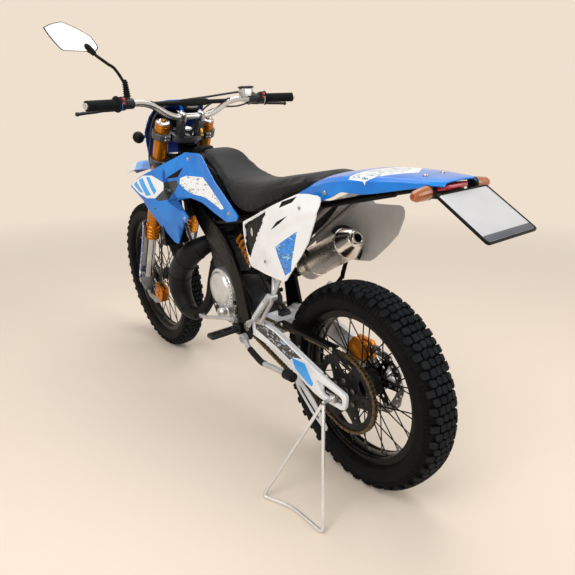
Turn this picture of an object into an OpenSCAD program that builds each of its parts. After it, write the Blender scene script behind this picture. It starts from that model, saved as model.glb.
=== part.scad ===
// Dirt bike on a wire paddock stand. Millimetres.
// Bike frame: x forward from the rear axle, y to the rider's left, z up from the ground,
// before the whole bike leans onto its stand.

/* [Stance] */
// Distance between the axles
wheelbase = 1400; // [1340:5:1460]
// Lean to the left on the stand, degrees
lean = 3.34; // [2:0.02:5]
// Angle of the fork back from upright, degrees
rake = 29.5; // [26:0.5:32]

/* [Wheels] */
// Outer radius of the rear tyre
rear_tyre_r = 316; // [300:1:330]
// Width of the rear tyre
rear_tyre_w = 113; // [90:1:120]
// Bead seat radius of the rear rim
rear_bead_r = 230; // [215:1:236]
// Width of the rear rim
rear_rim_w = 62; // [50:1:70]
// Outer radius of the front tyre
front_tyre_r = 350; // [330:1:365]
// Width of the front tyre
front_tyre_w = 88; // [75:1:100]
// Bead seat radius of the front rim
front_bead_r = 267; // [250:1:275]
// Width of the front rim
front_rim_w = 50; // [42:1:58]
// Spokes in each wheel
spokes = 36; // [28:4:40]
// Radius of the rear axle
rear_axle_r = 10; // [8.5:0.5:12]
// Radius of the front axle
front_axle_r = 8; // [7:0.5:10]

/* [Chain] */
// Pitch radius of the rear sprocket
sprocket_r = 121; // [95:1:124]
// Pitch radius of the engine sprocket
engine_sprocket_r = 28; // [24:1:32]
// Chain line, from the centre plane
chain_y = 69; // [66:1:72]
// Width over the chain's plates
chain_w = 14; // [10:0.5:15]
// Height of a chain plate
chain_h = 12; // [9:0.5:13]

/* [Brakes] */
// Radius of the rear brake disc
rear_disc_r = 110; // [95:1:115]
// Radius of the front brake disc
front_disc_r = 130; // [115:1:132]
// Thickness of the brake discs
disc_t = 4; // [3:0.5:5]

/* [Fork] */
// Half the distance between the fork legs
fork_y = 92; // [88:1:98]
// Radius of the fork's outer tubes
fork_r = 27; // [24:0.5:28]
// Radius of the fork's inner tubes
stanchion_r = 20; // [17:0.5:21]
// Fork cap, measured up the fork from the axle
fork_top = 839; // [800:1:860]
// Lower end of the outer tubes, measured up the fork
fork_seal = 292; // [270:1:330]
// Radius of the steering stem
stem_r = 15; // [12:0.5:17]
// Fork legs behind the front axle, square to the fork
fork_lead = 35; // [28:1:42]
// Steering stem behind the fork legs, square to the fork
fork_offset = 28; // [24:1:32]

/* [Controls] */
// Half the width of the handlebar
bar_half_w = 411; // [380:1:430]
// Radius of the handlebar tube
bar_r = 11; // [10:0.5:14]
// Height of the handlebar's low middle
bar_z = 1075; // [1060:1:1090]
// Rise of the handlebar from its middle to its ends
bar_rise = 52; // [40:1:70]

/* [Body] */
// Half the width over the radiator shrouds at their front tips
shroud_half_w = 212; // [195:1:220]
// Half the width over the left side panel
panel_left_y = 146; // [138:1:152]
// Half the width over the right side panel
panel_right_y = 168; // [166:1:178]
// Half the width of the seat at its widest
seat_half_w = 112; // [95:1:114]
// Muffler radius
muffler_r = 43; // [36:1:45]
// Licence plate width
plate_w = 173; // [150:1:180]
// Licence plate length
plate_l = 156; // [140:1:165]
// Wire radius of the paddock stand
stand_wire_r = 5.5; // [4.5:0.5:6.5]

/* [Hidden] */
$fn = 48;

// Gap between pieces that sit against each other
seat_gap = 0.3;
// Radial play of a shaft in its bearing
play = 0.05;
// Distance from the stem to the axle, square to the fork
stem_u = -(fork_lead + fork_offset);
leg_u = -fork_lead;
// Steering bearings, measured up the fork from the axle
head_low = 684;
head_high = 769;
clamp_t = 28;
grip_l = 118;
// Colours
blue = "#1f6fe0";
white = "#f4f6f8";
black = "#1b1c1e";
rubber = "#2b2d33";
silver = "#d5d6da";
steel = "#9c938a";
orange = "#c77a1e";

// The row's origin is the middle of the whole bike's box, on the floor
tail_x = -444;
mirror_tip_y = 544;
right_grip_y = -345;
origin_x = (tail_x + wheelbase + front_tyre_r) / 2;
origin_y = (mirror_tip_y + right_grip_y) / 2;

function unit(v) = v / norm(v);
function xyz(p) = [p[0], p[1], p[2]];
// A point of the bike frame after the lean
function leaned(p) = [p[0], p[1] * cos(lean) + p[2] * sin(lean), p[2] * cos(lean) - p[1] * sin(lean)];
// A point given up the fork (w) and ahead of the axle (u), in the bike frame
function up_fork(u, y, w) = [
  wheelbase + u * cos(rake) - w * sin(rake), y, front_tyre_r + u * sin(rake) + w * cos(rake)
];
// Smooth curve through a list of [x, y, z, radius] points
function knot(p, i) = i < 0 ? 2 * p[0] - p[1]
  : i >= len(p) ? 2 * p[len(p) - 1] - p[len(p) - 2] : p[i];
function between(a, b, c, d, t) = 0.5 * (2 * b + (c - a) * t + (2 * a - 5 * b + 4 * c - d) * t * t
  + (3 * b - a - 3 * c + d) * t * t * t);
function smooth(p, steps) = concat(
  [for (i = [0 : len(p) - 2], s = [0 : steps - 1])
    between(knot(p, i - 1), p[i], p[i + 1], knot(p, i + 2), s / steps)],
  [p[len(p) - 1]]
);
function mirrored(p) = [for (i = [len(p) - 1 : -1 : 0]) [p[i][0], -p[i][1], p[i][2], p[i][3]]];

module on_stand() translate([-origin_x, -origin_y, 0]) rotate([-lean, 0, 0]) children();
module on_floor() translate([-origin_x, -origin_y, 0]) children();
module at_front_axle() translate([wheelbase, 0, front_tyre_r]) children();
module at_rear_axle() translate([0, 0, rear_tyre_r]) children();
// x ahead of the axle and z up the fork
module along_fork() at_front_axle() rotate([0, -rake, 0]) children();
module both_sides() {
  children();
  mirror([0, 1, 0]) children();
}
// Round bar from one point to another
module rod(a, b, r, r2 = undef) {
  d = b - a;
  l = norm(d);
  translate(a)
    rotate([0, acos(d[2] / l), atan2(d[1], d[0])])
      cylinder(h = l, r1 = r, r2 = is_undef(r2) ? r : r2);
}
// Tube swept along a smooth curve, ref is never along the curve
module tube(points, ref = [0, 1, 0], steps = 4, sides = 16) {
  path = smooth(points, steps);
  n = len(path);
  rings = [for (i = [0 : n - 1])
    let (
      t = unit(xyz(path[min(i + 1, n - 1)]) - xyz(path[max(i - 1, 0)])),
      u = unit(cross(ref, t)),
      v = cross(t, u)
    )
    for (k = [0 : sides - 1])
      xyz(path[i]) + path[i][3] * (cos(360 * k / sides) * u + sin(360 * k / sides) * v)];
  walls = [for (i = [0 : n - 2], k = [0 : sides - 1])
    let (k2 = (k + 1) % sides)
    [i * sides + k, (i + 1) * sides + k, (i + 1) * sides + k2, i * sides + k2]];
  start = [for (k = [0 : sides - 1]) k];
  end = [for (k = [sides - 1 : -1 : 0]) (n - 1) * sides + k];
  polyhedron(points = rings, faces = concat([start], walls, [end]), convexity = 8);
}
// Plate with a side outline of [x, z] points, between two values of y
module side_cut(outline, y0, y1)
  translate([0, y1, 0]) rotate([90, 0, 0]) linear_extrude(y1 - y0) polygon(outline);
// Upright block with a plan outline of [x, y] points
module plan_cut(outline, z0, z1) translate([0, 0, z0]) linear_extrude(z1 - z0) polygon(outline);
// Solid of revolution about the wheel's axis, from [radius, y] points
module wheel_ring(profile) rotate([-90, 0, 0]) rotate_extrude($fn = 96) polygon(profile);
// Cylinder along y
module cross_pin(x, z, r, y0, y1) translate([x, y0, z]) rotate([-90, 0, 0]) cylinder(h = y1 - y0, r = r);

// Wheels -------------------------------------------------------------------------------------

// A tyre's section: a squared ellipse with its beads inside the rim flanges
function tyre_profile(r, w, bead_r, rim_w) =
  let (mid = (r + bead_r) / 2, half = w / 2, depth = r - mid, bead_y = rim_w / 2 - 4 - seat_gap)
  concat(
    [for (t = [-40 : 10 : 220])
      [mid + depth * sign(sin(t)) * pow(abs(sin(t)), 0.8), half * sign(cos(t)) * pow(abs(cos(t)), 0.8)]],
    [
      [bead_r + 10, -rim_w / 2 - 1], [bead_r + 10, -bead_y], [bead_r + seat_gap, -bead_y],
      [bead_r + seat_gap, bead_y], [bead_r + 10, bead_y], [bead_r + 10, rim_w / 2 + 1]
    ]
  );

// A rim, its hub and the crossed spokes between them
module laced_wheel(bead_r, rim_w, hub_r, flange_r, flange_y, hub_y, bore_r) {
  half = rim_w / 2;
  well_r = bead_r - 16;
  wheel_ring([
    [well_r + 3, -half], [bead_r + 9, -half], [bead_r + 9, -half + 4], [bead_r, -half + 4],
    [bead_r - 5, -half / 2], [bead_r - 5, half / 2], [bead_r, half - 4], [bead_r + 9, half - 4],
    [bead_r + 9, half], [well_r + 3, half], [well_r, half / 3], [well_r, -half / 3]
  ]);
  wheel_ring([
    [bore_r, -hub_y], [hub_r * 0.8, -hub_y], [hub_r * 0.8, -flange_y - 6], [flange_r, -flange_y - 4],
    [flange_r, -flange_y + 2], [hub_r, -flange_y + 8], [hub_r, flange_y - 8],
    [flange_r, flange_y - 2], [flange_r, flange_y + 4], [hub_r * 0.8, flange_y + 6],
    [hub_r * 0.8, hub_y], [bore_r, hub_y]
  ]);
  lacing = 58;
  step = 360 / spokes;
  for (i = [0 : spokes - 1]) {
    side = i % 2 == 0 ? 1 : -1;
    leads = floor(i / 2) % 2 == 0 ? 1 : -1;
    a = i * step;
    b = a - leads * lacing;
    root_r = flange_r - 4;
    tip_r = bead_r - 12;
    root_y = side * (flange_y + 1) + leads * 4;
    rod(
      [root_r * cos(b), root_y, root_r * sin(b)],
      [tip_r * cos(a), side * half / 4 + leads * 1.5, tip_r * sin(a)],
      1.9, $fn = 14
    );
  }
}

// Brake disc with a scalloped edge, a ring of slots and four arms
module brake_disc(r, hub_r, y) {
  waves = 12;
  rotate([-90, 0, 0]) translate([0, 0, y - disc_t / 2]) difference() {
    cylinder(h = disc_t, r = r);
    translate([0, 0, -1]) cylinder(h = disc_t + 2, r = hub_r + seat_gap);
    for (i = [0 : waves - 1]) rotate(i * 360 / waves)
      translate([r + 9, 0, -1]) cylinder(h = disc_t + 2, r = 14);
    for (i = [0 : 5]) rotate(i * 60)
      translate([(r + hub_r) / 2 - 8, 0, -1]) cylinder(h = disc_t + 2, r = (r - hub_r) / 4.2);
  }
}

front_disc_y = 55;
rear_disc_y = -58;
front_hub_r = 24;
rear_hub_r = 30;
front_flange_r = 34;
rear_flange_r = 46;

module front_tyre() color(rubber) at_front_axle()
  wheel_ring(tyre_profile(front_tyre_r, front_tyre_w, front_bead_r, front_rim_w));

module front_wheel() color(black) at_front_axle()
  laced_wheel(front_bead_r, front_rim_w, front_hub_r, front_flange_r, 26, 62, front_axle_r + play);

module front_disc() color(silver) at_front_axle() brake_disc(front_disc_r, front_hub_r * 0.8, front_disc_y);

module rear_tyre() color(rubber) at_rear_axle()
  wheel_ring(tyre_profile(rear_tyre_r, rear_tyre_w, rear_bead_r, rear_rim_w));

module rear_wheel() color(black) at_rear_axle()
  laced_wheel(rear_bead_r, rear_rim_w, rear_hub_r, rear_flange_r, 32, 76, rear_axle_r + play);

module rear_disc() color(silver) at_rear_axle() brake_disc(rear_disc_r, rear_hub_r * 0.8, rear_disc_y);

// Sprocket plate that stays inside the chain's loop, with six windows
module rear_sprocket() color("#3b3c3f") at_rear_axle() rotate([-90, 0, 0])
  translate([0, 0, chain_y - 3.5]) difference() {
    cylinder(h = 7, r = sprocket_r - chain_h / 2 - 1, $fn = 96);
    translate([0, 0, -1]) cylinder(h = 9, r = rear_hub_r * 0.8 + seat_gap);
    for (i = [0 : 5]) rotate(i * 60)
      translate([sprocket_r * 0.62, 0, -1]) cylinder(h = 9, r = 19);
  }

// Frame and swingarm --------------------------------------------------------------------------

pivot = [450, 400];
pivot_r = 9;
shock_top = [640, 702];
beam_outer_front = 74;
beam_outer_rear = 114;
beam_t = 25;
// The frame's plates are thinner where they hold the swingarm's pivot
plate_t = 13;
rail_r = 9;
strut_y = 53;
function nearest(p, a, b) = a + ((p - a) * (b - a)) / ((b - a) * (b - a)) * (b - a);
// Ends of the seat rails, from the beams back to the tail
rail = [[684, 88, 716], [300, 78, 790], [52, 70, 854], [-160, 44, 900]];
arm_y = 86;
arm_t = 28;

// Side outline of one frame beam, from the steering head down to the swingarm pivot
beam_outline = [
  [1010, 925], [977, 985], [890, 905], [801, 815], [690, 735], [596, 650], [520, 560], [470, 470],
  [428, 425], [422, 385], [440, 352], [505, 352], [530, 400], [548, 459], [590, 545], [675, 632],
  [780, 705], [880, 790], [935, 878]
];
module beam() intersection() {
  side_cut(beam_outline, 0, 130);
  plan_cut([
    [1030, 0], [1030, 26], [975, 34], [860, beam_outer_front], [640, beam_outer_rear - 10],
    [520, beam_outer_rear], [400, beam_outer_rear], [400, beam_outer_rear - plate_t],
    [520, beam_outer_rear - plate_t], [640, beam_outer_rear - 10 - beam_t],
    [850, beam_outer_front - beam_t], [960, 0]
  ], 300, 1000);
}

side_pivot = [456, 130, 358];
side_pivot_r = 6;
// Where the engine bolts to the beams
engine_mount = [540, 458];
engine_left = 55;
engine_right = 78;
module main_frame() color(black) {
  difference() {
    union() {
      both_sides() beam();
      along_fork() translate([stem_u, 0, head_low + 2]) cylinder(h = head_high - head_low - 4, r = 30);
      // Cross tubes at the shock, the pivot and the foot rests
      cross_pin(shock_top[0] + 4, shock_top[1] + 28, 12, -95, 95);
      cross_pin(498, 392, 12, -103, 103);
    }
    along_fork() translate([stem_u, 0, head_low - 40]) cylinder(h = 200, r = stem_r + play);
    cross_pin(pivot[0], pivot[1], pivot_r + play, -130, 130);
  }
  cross_pin(engine_mount[0], engine_mount[1], 8, engine_left + seat_gap, 104);
  cross_pin(engine_mount[0], engine_mount[1], 8, -104, -engine_right - seat_gap);
  // Bolt for the side stand
  cross_pin(side_pivot[0], side_pivot[2], side_pivot_r, beam_outer_rear - 2, 146);
  both_sides() {
    for (i = [0 : 2]) rod(rail[i], rail[i + 1], rail_r - i);
    for (i = [1, 2]) translate(rail[i]) sphere(r = rail_r + 0.4);
    rod([545, 96, 560], [430, strut_y, 590], 8);
    translate([430, strut_y, 590]) sphere(r = 8.4);
    rod([430, strut_y, 590], [60, strut_y, 852], 7);
    // Post under the fender, and the peg of one radiator
    rod(rail[3], [rail[3][0], rail[3][1], fender_roof(rail[3][0]) - seat_gap], 6);
    rod([910, 40, 858], [910, radiator_in + 2 - seat_gap, 858], 6);
  }
  cross_pin(rail[2][0], rail[2][2], 8, -rail[2][1], rail[2][1]);
  cross_pin(rail[1][0], rail[1][2], 8, -rail[1][1], rail[1][1]);
  // Hanger of the muffler
  hang = [330, -strut_y, 661];
  core = nearest(hang, muffler_front, muffler_tip);
  rod(hang, core + (muffler_r + seat_gap) * unit(hang - core), 7);
  // Bosses for the side panels
  for (p = [[300, 79, 790], [70, 72, 850]]) {
    rod(p, [p[0], lookup(p[0], panel_left) - panel_t - seat_gap - 0.6, p[2]], 6);
    rod([p[0], -p[1], p[2]], [p[0], -lookup(p[0], panel_right) + panel_t + seat_gap + 0.6, p[2]], 6);
  }
}

// One arm of the swingarm, its slot holding the axle
arm_rear = [
  [-46, 346], [-52, 330], [-48, 300], [-30, 288], [60, 287], [200, 318], [330, 352], [404, 371],
  [404, 434], [340, 432], [150, 390]
];
arm_front = [[403, 371], [450, 376], [476, 388], [476, 414], [452, 432], [403, 434]];
bridge_top = 420;
module swingarm() color(silver) {
  difference() {
    union() {
      both_sides() {
        side_cut(arm_rear, arm_y, arm_y + arm_t);
        // Thinner between the frame's plates
        side_cut(arm_front, arm_y, beam_outer_rear - plate_t - 1);
      }
      // Bridge ahead of the tyre
      side_cut([[334, 366], [334, bridge_top], [398, bridge_top], [398, 378]], -arm_y - 1, arm_y + 1);
      cross_pin(pivot[0], pivot[1], 22, -arm_y - 1, arm_y + 1);
      cross_pin(pivot[0], pivot[1], pivot_r, -beam_outer_rear - 6, beam_outer_rear + 6);
    }
    cross_pin(0, rear_tyre_r, rear_axle_r + play, -130, 130);
    both_sides() side_cut([[-28, 308], [-28, 324], [34, 332], [40, 312]], arm_y + 8, arm_y + arm_t + 1);
  }
}

// Hollow axle with a nut on its right end
module rear_axle() color(silver) difference() {
  union() {
    cross_pin(0, rear_tyre_r, rear_axle_r, -arm_y - arm_t - 10, arm_y + arm_t + 8);
    cross_pin(0, rear_tyre_r, 15, -arm_y - arm_t - 12, -arm_y - arm_t - seat_gap, $fn = 6);
  }
  cross_pin(0, rear_tyre_r, stand_wire_r + 0.1, 60, 130);
  cross_pin(0, rear_tyre_r, stand_wire_r + 0.1, -130, -60);
}

// Damper and its spring, as one solid from mount to mount
module rear_shock() color(orange) {
  eye_r = 14;
  top = [shock_top[0], 0, shock_top[1]];
  low = [384, 0, bridge_top + eye_r + seat_gap];
  axis = unit(top - low);
  rod(low + 8 * axis, low + 96 * axis, 18);
  rod(low + 95 * axis, low + 262 * axis, 34);
  rod(low + 261 * axis, top + 10 * axis, 24);
  cross_pin(low[0], low[2], eye_r, -18, 18);
}

// Engine and exhaust --------------------------------------------------------------------------

// Crankcase and cylinder as one plain block
module engine() color("#8f9296") {
  side_cut([
    [528, 388], [560, 330], [760, 322], [812, 380], [806, 470], [760, 520], [600, 520], [528, 457]
  ], -engine_right, engine_left);
  side_cut([[660, 519], [758, 519], [800, 655], [775, 690], [722, 694], [690, 660]], -52, 52);
}

// Round magneto cover on the left, with the pump knob below it
cover = [645, 506];
module engine_cover() color(silver) {
  cross_pin(cover[0], cover[1] - 28, 66, engine_left + seat_gap, 108);
  cross_pin(cover[0], cover[1] - 28, 54, 107, 120);
  cross_pin(cover[0] - 12, cover[1] - 108, 24, engine_left + seat_gap, 118);
}

radiator_in = 76;
radiator_out = 172;
module radiators() color("#3a3c3f") both_sides() {
  plan_cut([[902, radiator_in], [940, radiator_in], [940, radiator_out], [902, radiator_out]], 612, 832);
  translate([902, radiator_in + 2, 831]) cube([16, 10, 36]);
  // Stay for the shroud
  rod([921, radiator_out - 1, 760], [921, lookup(921, shroud_out) - shroud_t - seat_gap - 1.6, 760], 7);
}

// Radius of the hole at the muffler's end
outlet_r = 12;
muffler_front = [418, -106, 559];
muffler_tip = [124, -104, 722];
// Header, belly and tail pipe of the two-stroke exhaust
exhaust_route = [
  [778.8, 0, 578.8, 17], [806, 0, 570.5, 17], [846, 0, 520, 18], [862, 12, 450, 19], [850, 40, 370, 20],
  [885, 78, 314, 22], [955, 90, 322, 30], [1004, 92, 392, 42], [985, 92, 470, 44],
  [915, 90, 540, 42], [852, 62, 588, 34], [824, 0, 610, 26], [800, -72, 596, 20],
  [720, -136, 572, 15], [560, -138, 548, 14], [478, -122, 536, 14],
  [muffler_front[0] + 24, muffler_front[1], muffler_front[2] - 13.5, 16],
  [muffler_front[0] + 0.8, muffler_front[1], muffler_front[2] - 0.5, 16]
];
module exhaust_pipe() color(black) tube(exhaust_route, ref = [0.2, 0.35, 1], steps = 4, sides = 20);

module muffler() color(steel) {
  axis = unit(muffler_tip - muffler_front);
  l = norm(muffler_tip - muffler_front);
  translate(muffler_front)
    rotate([0, acos(axis[2]), atan2(axis[1], axis[0])])
      rotate_extrude() polygon([
        [0, seat_gap], [20, seat_gap], [muffler_r - 3, 58], [muffler_r, 59], [muffler_r, l - 58],
        [muffler_r - 1, l - 57], [24, l - 12], [18, l - 11], [18, l], [outlet_r, l],
        [outlet_r, l - 70], [0, l - 70]
      ]);
}

// Body ----------------------------------------------------------------------------------------

// Airbox and the inner fender ahead of the rear tyre
module airbox() color(black) {
  top = rail[1][2] - 8 - seat_gap;
  side_cut([[422, 535], [486, 612], [543, 690], [520, 740], [310, top], [290, top], [190, 770], [240, 690], [345, 545]], -44, 44);
}

module fuel_tank() color(black) {
  intersection() {
    side_cut([
      [902, 916.5], [905, 932], [860, 950], [775, 952], [756, 951.7], [690, 925.7], [640, 911.7],
      [560, 865.7], [560, 792], [640, 768], [735, 768], [801, 815.5], [890, 905.5]
    ], -110, 110);
    plan_cut([
      [920, 30], [890, 72], [780, 96], [560, 88], [560, -88], [780, -96], [890, -72], [920, -30]
    ], 600, 1000);
  }
  // Filler cap and its breather
  translate([838, 0, 949]) cylinder(h = 22, r = 34);
  tube([[850, -6, 969, 3], [856, -8, 985, 3], [858, -10, 1005, 3]], ref = [1, 0, 0], sides = 8);
  translate([858, -10, 1004]) cylinder(h = 28, r = 5.5);
  // Bosses for the shrouds
  both_sides() rod([705, 80, 896], [705, lookup(705, shroud_out) - shroud_t - 1.6, 896], 8);
}

// Shroud: side outline of the plastic, and its outer face's y at each x
shroud_outline = [
  [745, 963], [660, 960], [625, 938], [548, 874], [484, 826], [420, 778], [436, 764], [497, 752],
  [566, 775], [634, 803], [697, 815], [763, 812], [832, 792], [700, 752], [712, 730], [806, 702],
  [852, 622], [878, 628], [935, 700], [990, 782], [1070, 830], [989, 870], [943, 886], [845, 922]
];
shroud_t = 6;
shroud_out = [
  [400, 124], [560, 128], [700, 146], [840, 178], [960, shroud_half_w - 9], [1075, shroud_half_w]
];
// Band in plan below a curve of [x, y] points, t thick
function band(curve, t) = concat(curve, [for (i = [len(curve) - 1 : -1 : 0]) curve[i] - [0, t]]);
module radiator_shrouds() color(blue) both_sides() intersection() {
  side_cut(shroud_outline, 60, 230);
  plan_cut(band(shroud_out, shroud_t), 560, 1000);
}

seat_outline = [
  [756, 952], [735, 966], [690, 960], [630, 925], [560, 888], [470, 876], [360, 888], [250, 906],
  [110, 926], [62, 928], [60, 908], [100, 896], [240, 838], [386, 790], [449, 786], [560, 866],
  [640, 912], [690, 926]
];
module seat() color("#3a3f45") intersection() {
  side_cut(seat_outline, -130, 130);
  plan_cut([
    [770, 36], [735, 58], [600, 92], [470, seat_half_w], [330, seat_half_w], [150, 100], [50, 84],
    [50, -84], [150, -100], [330, -seat_half_w], [470, -seat_half_w], [600, -92], [735, -58], [770, -36]
  ], 700, 1000);
}

// Number-plate panels below the seat; the right one bulges round the muffler
panel_outline = [
  [392, 768], [93, 885], [14, 881], [2, 868], [14, 838], [36, 750], [150, 634], [184, 626], [366, 628]
];
panel_t = 5;
panel_left = [[-20, panel_left_y - 10], [150, panel_left_y], [300, 134], [400, 122]];
panel_right = [[-20, panel_right_y - 4], [150, panel_right_y], [300, panel_right_y - 2], [400, panel_right_y - 8]];
module side_panels() color(white) {
  intersection() {
    side_cut(panel_outline, 100, 160);
    plan_cut(band(panel_left, panel_t), 600, 920);
  }
  mirror([0, 1, 0]) intersection() {
    side_cut(panel_outline, 100, 190);
    plan_cut(band(panel_right, panel_t), 600, 920);
  }
}

// Underside of the fender's arch, as [x, z]
fender_arch = [[-280, 932], [-165, 936], [-79, 932], [40, 898], [140, 872]];
function fender_roof(x) = lookup(x, fender_arch);
module rear_fender() color(blue) {
  intersection() {
    side_cut([
      [130, 878], [100, 893], [58, 905], [57, 929], [-79, 946], [-165, 948], [-300, 942], [-312, 938],
      [-300, 932], [-235, 922], [-134, 903], [-40, 890], [40, 862]
    ], -130, 130);
    difference() {
      plan_cut([
        [130, 108], [20, 114], [-140, 96], [-290, 66], [-314, 40], [-314, -40], [-290, -66],
        [-140, -96], [20, -114], [130, -108]
      ], 800, 1000);
      side_cut(concat([[140, 800]], [for (i = [4 : -1 : 0]) fender_arch[i]], [[-280, 800]]), -60, 60);
      // Room for the seat rails where they pass the skirts
      side_cut([[140, 800], [140, 872], [20, 875], [20, 800]], -86, 86);
    }
  }
}

// Tail light and the indicators on its sides
light_y = 46;
module rear_lights() {
  color("#c02840") intersection() {
    side_cut([[-246.5, 923], [-300, 931.5], [-306, 931], [-306, 914], [-246.5, 906]], -light_y, light_y);
    plan_cut([[-240, 45], [-292, 45], [-306, 34], [-306, -34], [-292, -45], [-240, -45]], 900, 940);
  }
  color("#c8813a") both_sides() {
    rod([-270, light_y - 1.2, 918], [-276, 78, 918], 6);
    translate([-284, 72, 917]) rotate([-90, 0, 4]) cylinder(h = 62, r1 = 16, r2 = 10);
  }
}

plate_slope = 31.3;
plate_top = [-311, 917];
module licence_plate() {
  // Local x runs down the plate and local z points under it
  translate([plate_top[0], 0, plate_top[1]]) rotate([0, 180 - plate_slope, 0]) {
    color("#d9d9d9") translate([3, -plate_w / 2 + 4, -0.8]) cube([plate_l - 6, plate_w - 8, 1]);
    color(black) translate([0, -plate_w / 2, 0]) cube([plate_l, plate_w, 5]);
  }
  // Bracket from the fender's roof
  color(black) side_cut([
    [-232, 933], [-246, 933], [-246, 905], [-306, 912], [-326, 902], [-330, 893], [-300, 899], [-232, 893]
  ], -28, 28);
}

// Drive ---------------------------------------------------------------------------------------

engine_sprocket = [562, 400];
// Outline around both sprockets, grown by g
module chain_shape(g) {
  d = [engine_sprocket[0], engine_sprocket[1] - rear_tyre_r];
  l = norm(d);
  // Half angle between the straight runs
  a = asin((sprocket_r - engine_sprocket_r) / l);
  r1 = sprocket_r + g;
  r2 = engine_sprocket_r + g;
  circle(r = r1, $fn = 96);
  translate(d) circle(r = r2);
  base = atan2(d[1], d[0]);
  up = base + 90 - a;
  down = base - 90 + a;
  polygon([
    [r1 * cos(up), r1 * sin(up)], [r1 * cos(down), r1 * sin(down)],
    d + [r2 * cos(down), r2 * sin(down)], d + [r2 * cos(up), r2 * sin(up)]
  ]);
}
module chain() color("#5a5048") at_rear_axle()
  translate([0, chain_y + chain_w / 2, 0]) rotate([90, 0, 0]) linear_extrude(chain_w) difference() {
    chain_shape(chain_h / 2);
    chain_shape(-chain_h / 2);
  }

module chain_guard() color(black) {
  // Cover over the upper run
  side_cut([
    [300, 446], [300, 456], [30, 452], [-40, 412], [-30, 405], [34, 443], [180, 444], [184, 384], [206, 384], [210, 445]
  ], arm_y - 5, arm_y - seat_gap);
  side_cut([[300, 447], [300, 456], [30, 456], [30, 447]], 62, arm_y - 4);
  // Guide below the arm
  color(silver) side_cut([
    [238, 336], [232, 278], [216, 250], [84, 152], [70, 170], [130, 240], [190, 283], [208, 330]
  ], arm_y - 5, arm_y - seat_gap);
}

module rear_caliper() {
  disc_y = rear_disc_y;
  color(orange) difference() {
    side_cut([[20, 374], [88, 352], [116, 392], [88, 432], [26, 426]], disc_y - 22, disc_y + 14);
    cross_pin(0, rear_tyre_r, rear_disc_r + 3, disc_y - disc_t / 2 - 2, disc_y + disc_t / 2 + 2);
  }
  // Bracket from the axle
  color(steel) difference() {
    side_cut([[-22, 300], [-22, 336], [22, 372], [30, 400], [84, 384], [84, 352], [24, 300]], -arm_y + seat_gap, disc_y - 21);
    cross_pin(0, rear_tyre_r, rear_axle_r + seat_gap, -130, 0);
  }
}

module footpegs() color(black) both_sides() {
  side_cut([[481, 358], [481, 394], [530, 394], [530, 366]], beam_outer_rear + seat_gap, beam_outer_rear + 12);
  translate([486, beam_outer_rear + 10, 370]) cube([40, 106, 16]);
}

// Folded passenger rest and the hanger that holds it, one on each side
module passenger_pegs() color(silver) {
  for (s = [1, -1]) {
    // The right hanger passes inside the muffler
    join = [262, s > 0 ? 122 : -51, 557];
    foot = [340, s * 122, 452];
    ends = s > 0 ? [[318, strut_y + 12.3, 669], [214, strut_y + 12.3, 743]]
      : [[313.4, -strut_y, 662.6], [207.6, -strut_y, 734]];
    for (e = ends) rod(join, e, 5);
    rod(join, foot, 7);
    translate(join) sphere(r = 7.4);
    // Foot of the hanger on the frame's plate
    translate([0, s > 0 ? beam_outer_rear + seat_gap : -beam_outer_rear - seat_gap - 6, 0])
      side_cut([[328, 440], [336, 462], [352, 462], [440, 425], [440, 405], [424, 405], [404, 437]], 0, 6);
  }
  rod([266, 134, 562], [366, 134, 456], 10);
  rod([290, -131, 534], [354, -131, 462], 10);
}

module foot_levers() color(silver) {
  cross_pin(520, 408, 11, beam_outer_rear + seat_gap, 128);
  rod([520, 124, 408], [690, 140, 372], 7);
  rod([690, 140, 372], [745, 144, 366], 8);
  rod([742, 126, 366], [742, 172, 366], 9);
  cross_pin(520, 408, 11, -128, -beam_outer_rear - seat_gap);
  rod([520, -124, 408], [700, -138, 352], 7);
  rod([698, -120, 352], [698, -168, 352], 9);
}

// Triangular wire stand, its pin in the left end of the hollow axle
module paddock_stand() color(silver) on_floor() {
  apex = leaned([0, 152, rear_tyre_r]);
  bends = [apex, [96, 318, stand_wire_r], [2, 280, stand_wire_r], [-131, 277, stand_wire_r], apex];
  flat = unit(cross(bends[1] - apex, bends[3] - apex));
  for (i = [0 : 3]) {
    r = stand_wire_r - 0.11 * i;
    reach = (0.45 + 0.03 * i) * r * unit(bends[i + 1] - bends[i]);
    ends = [bends[i] - reach, bends[i + 1] + reach];
    tube([for (p = ends) [p[0], p[1], p[2], r]], ref = flat, steps = 1, sides = 12);
  }
  pin = [leaned([0, 70, rear_tyre_r]), leaned([0, 153, rear_tyre_r])];
  tube([for (p = pin) [p[0], p[1], p[2], stand_wire_r - 0.27]], ref = [1, 0, 0.1], steps = 1, sides = 12);
}

// Front end -----------------------------------------------------------------------------------

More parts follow.
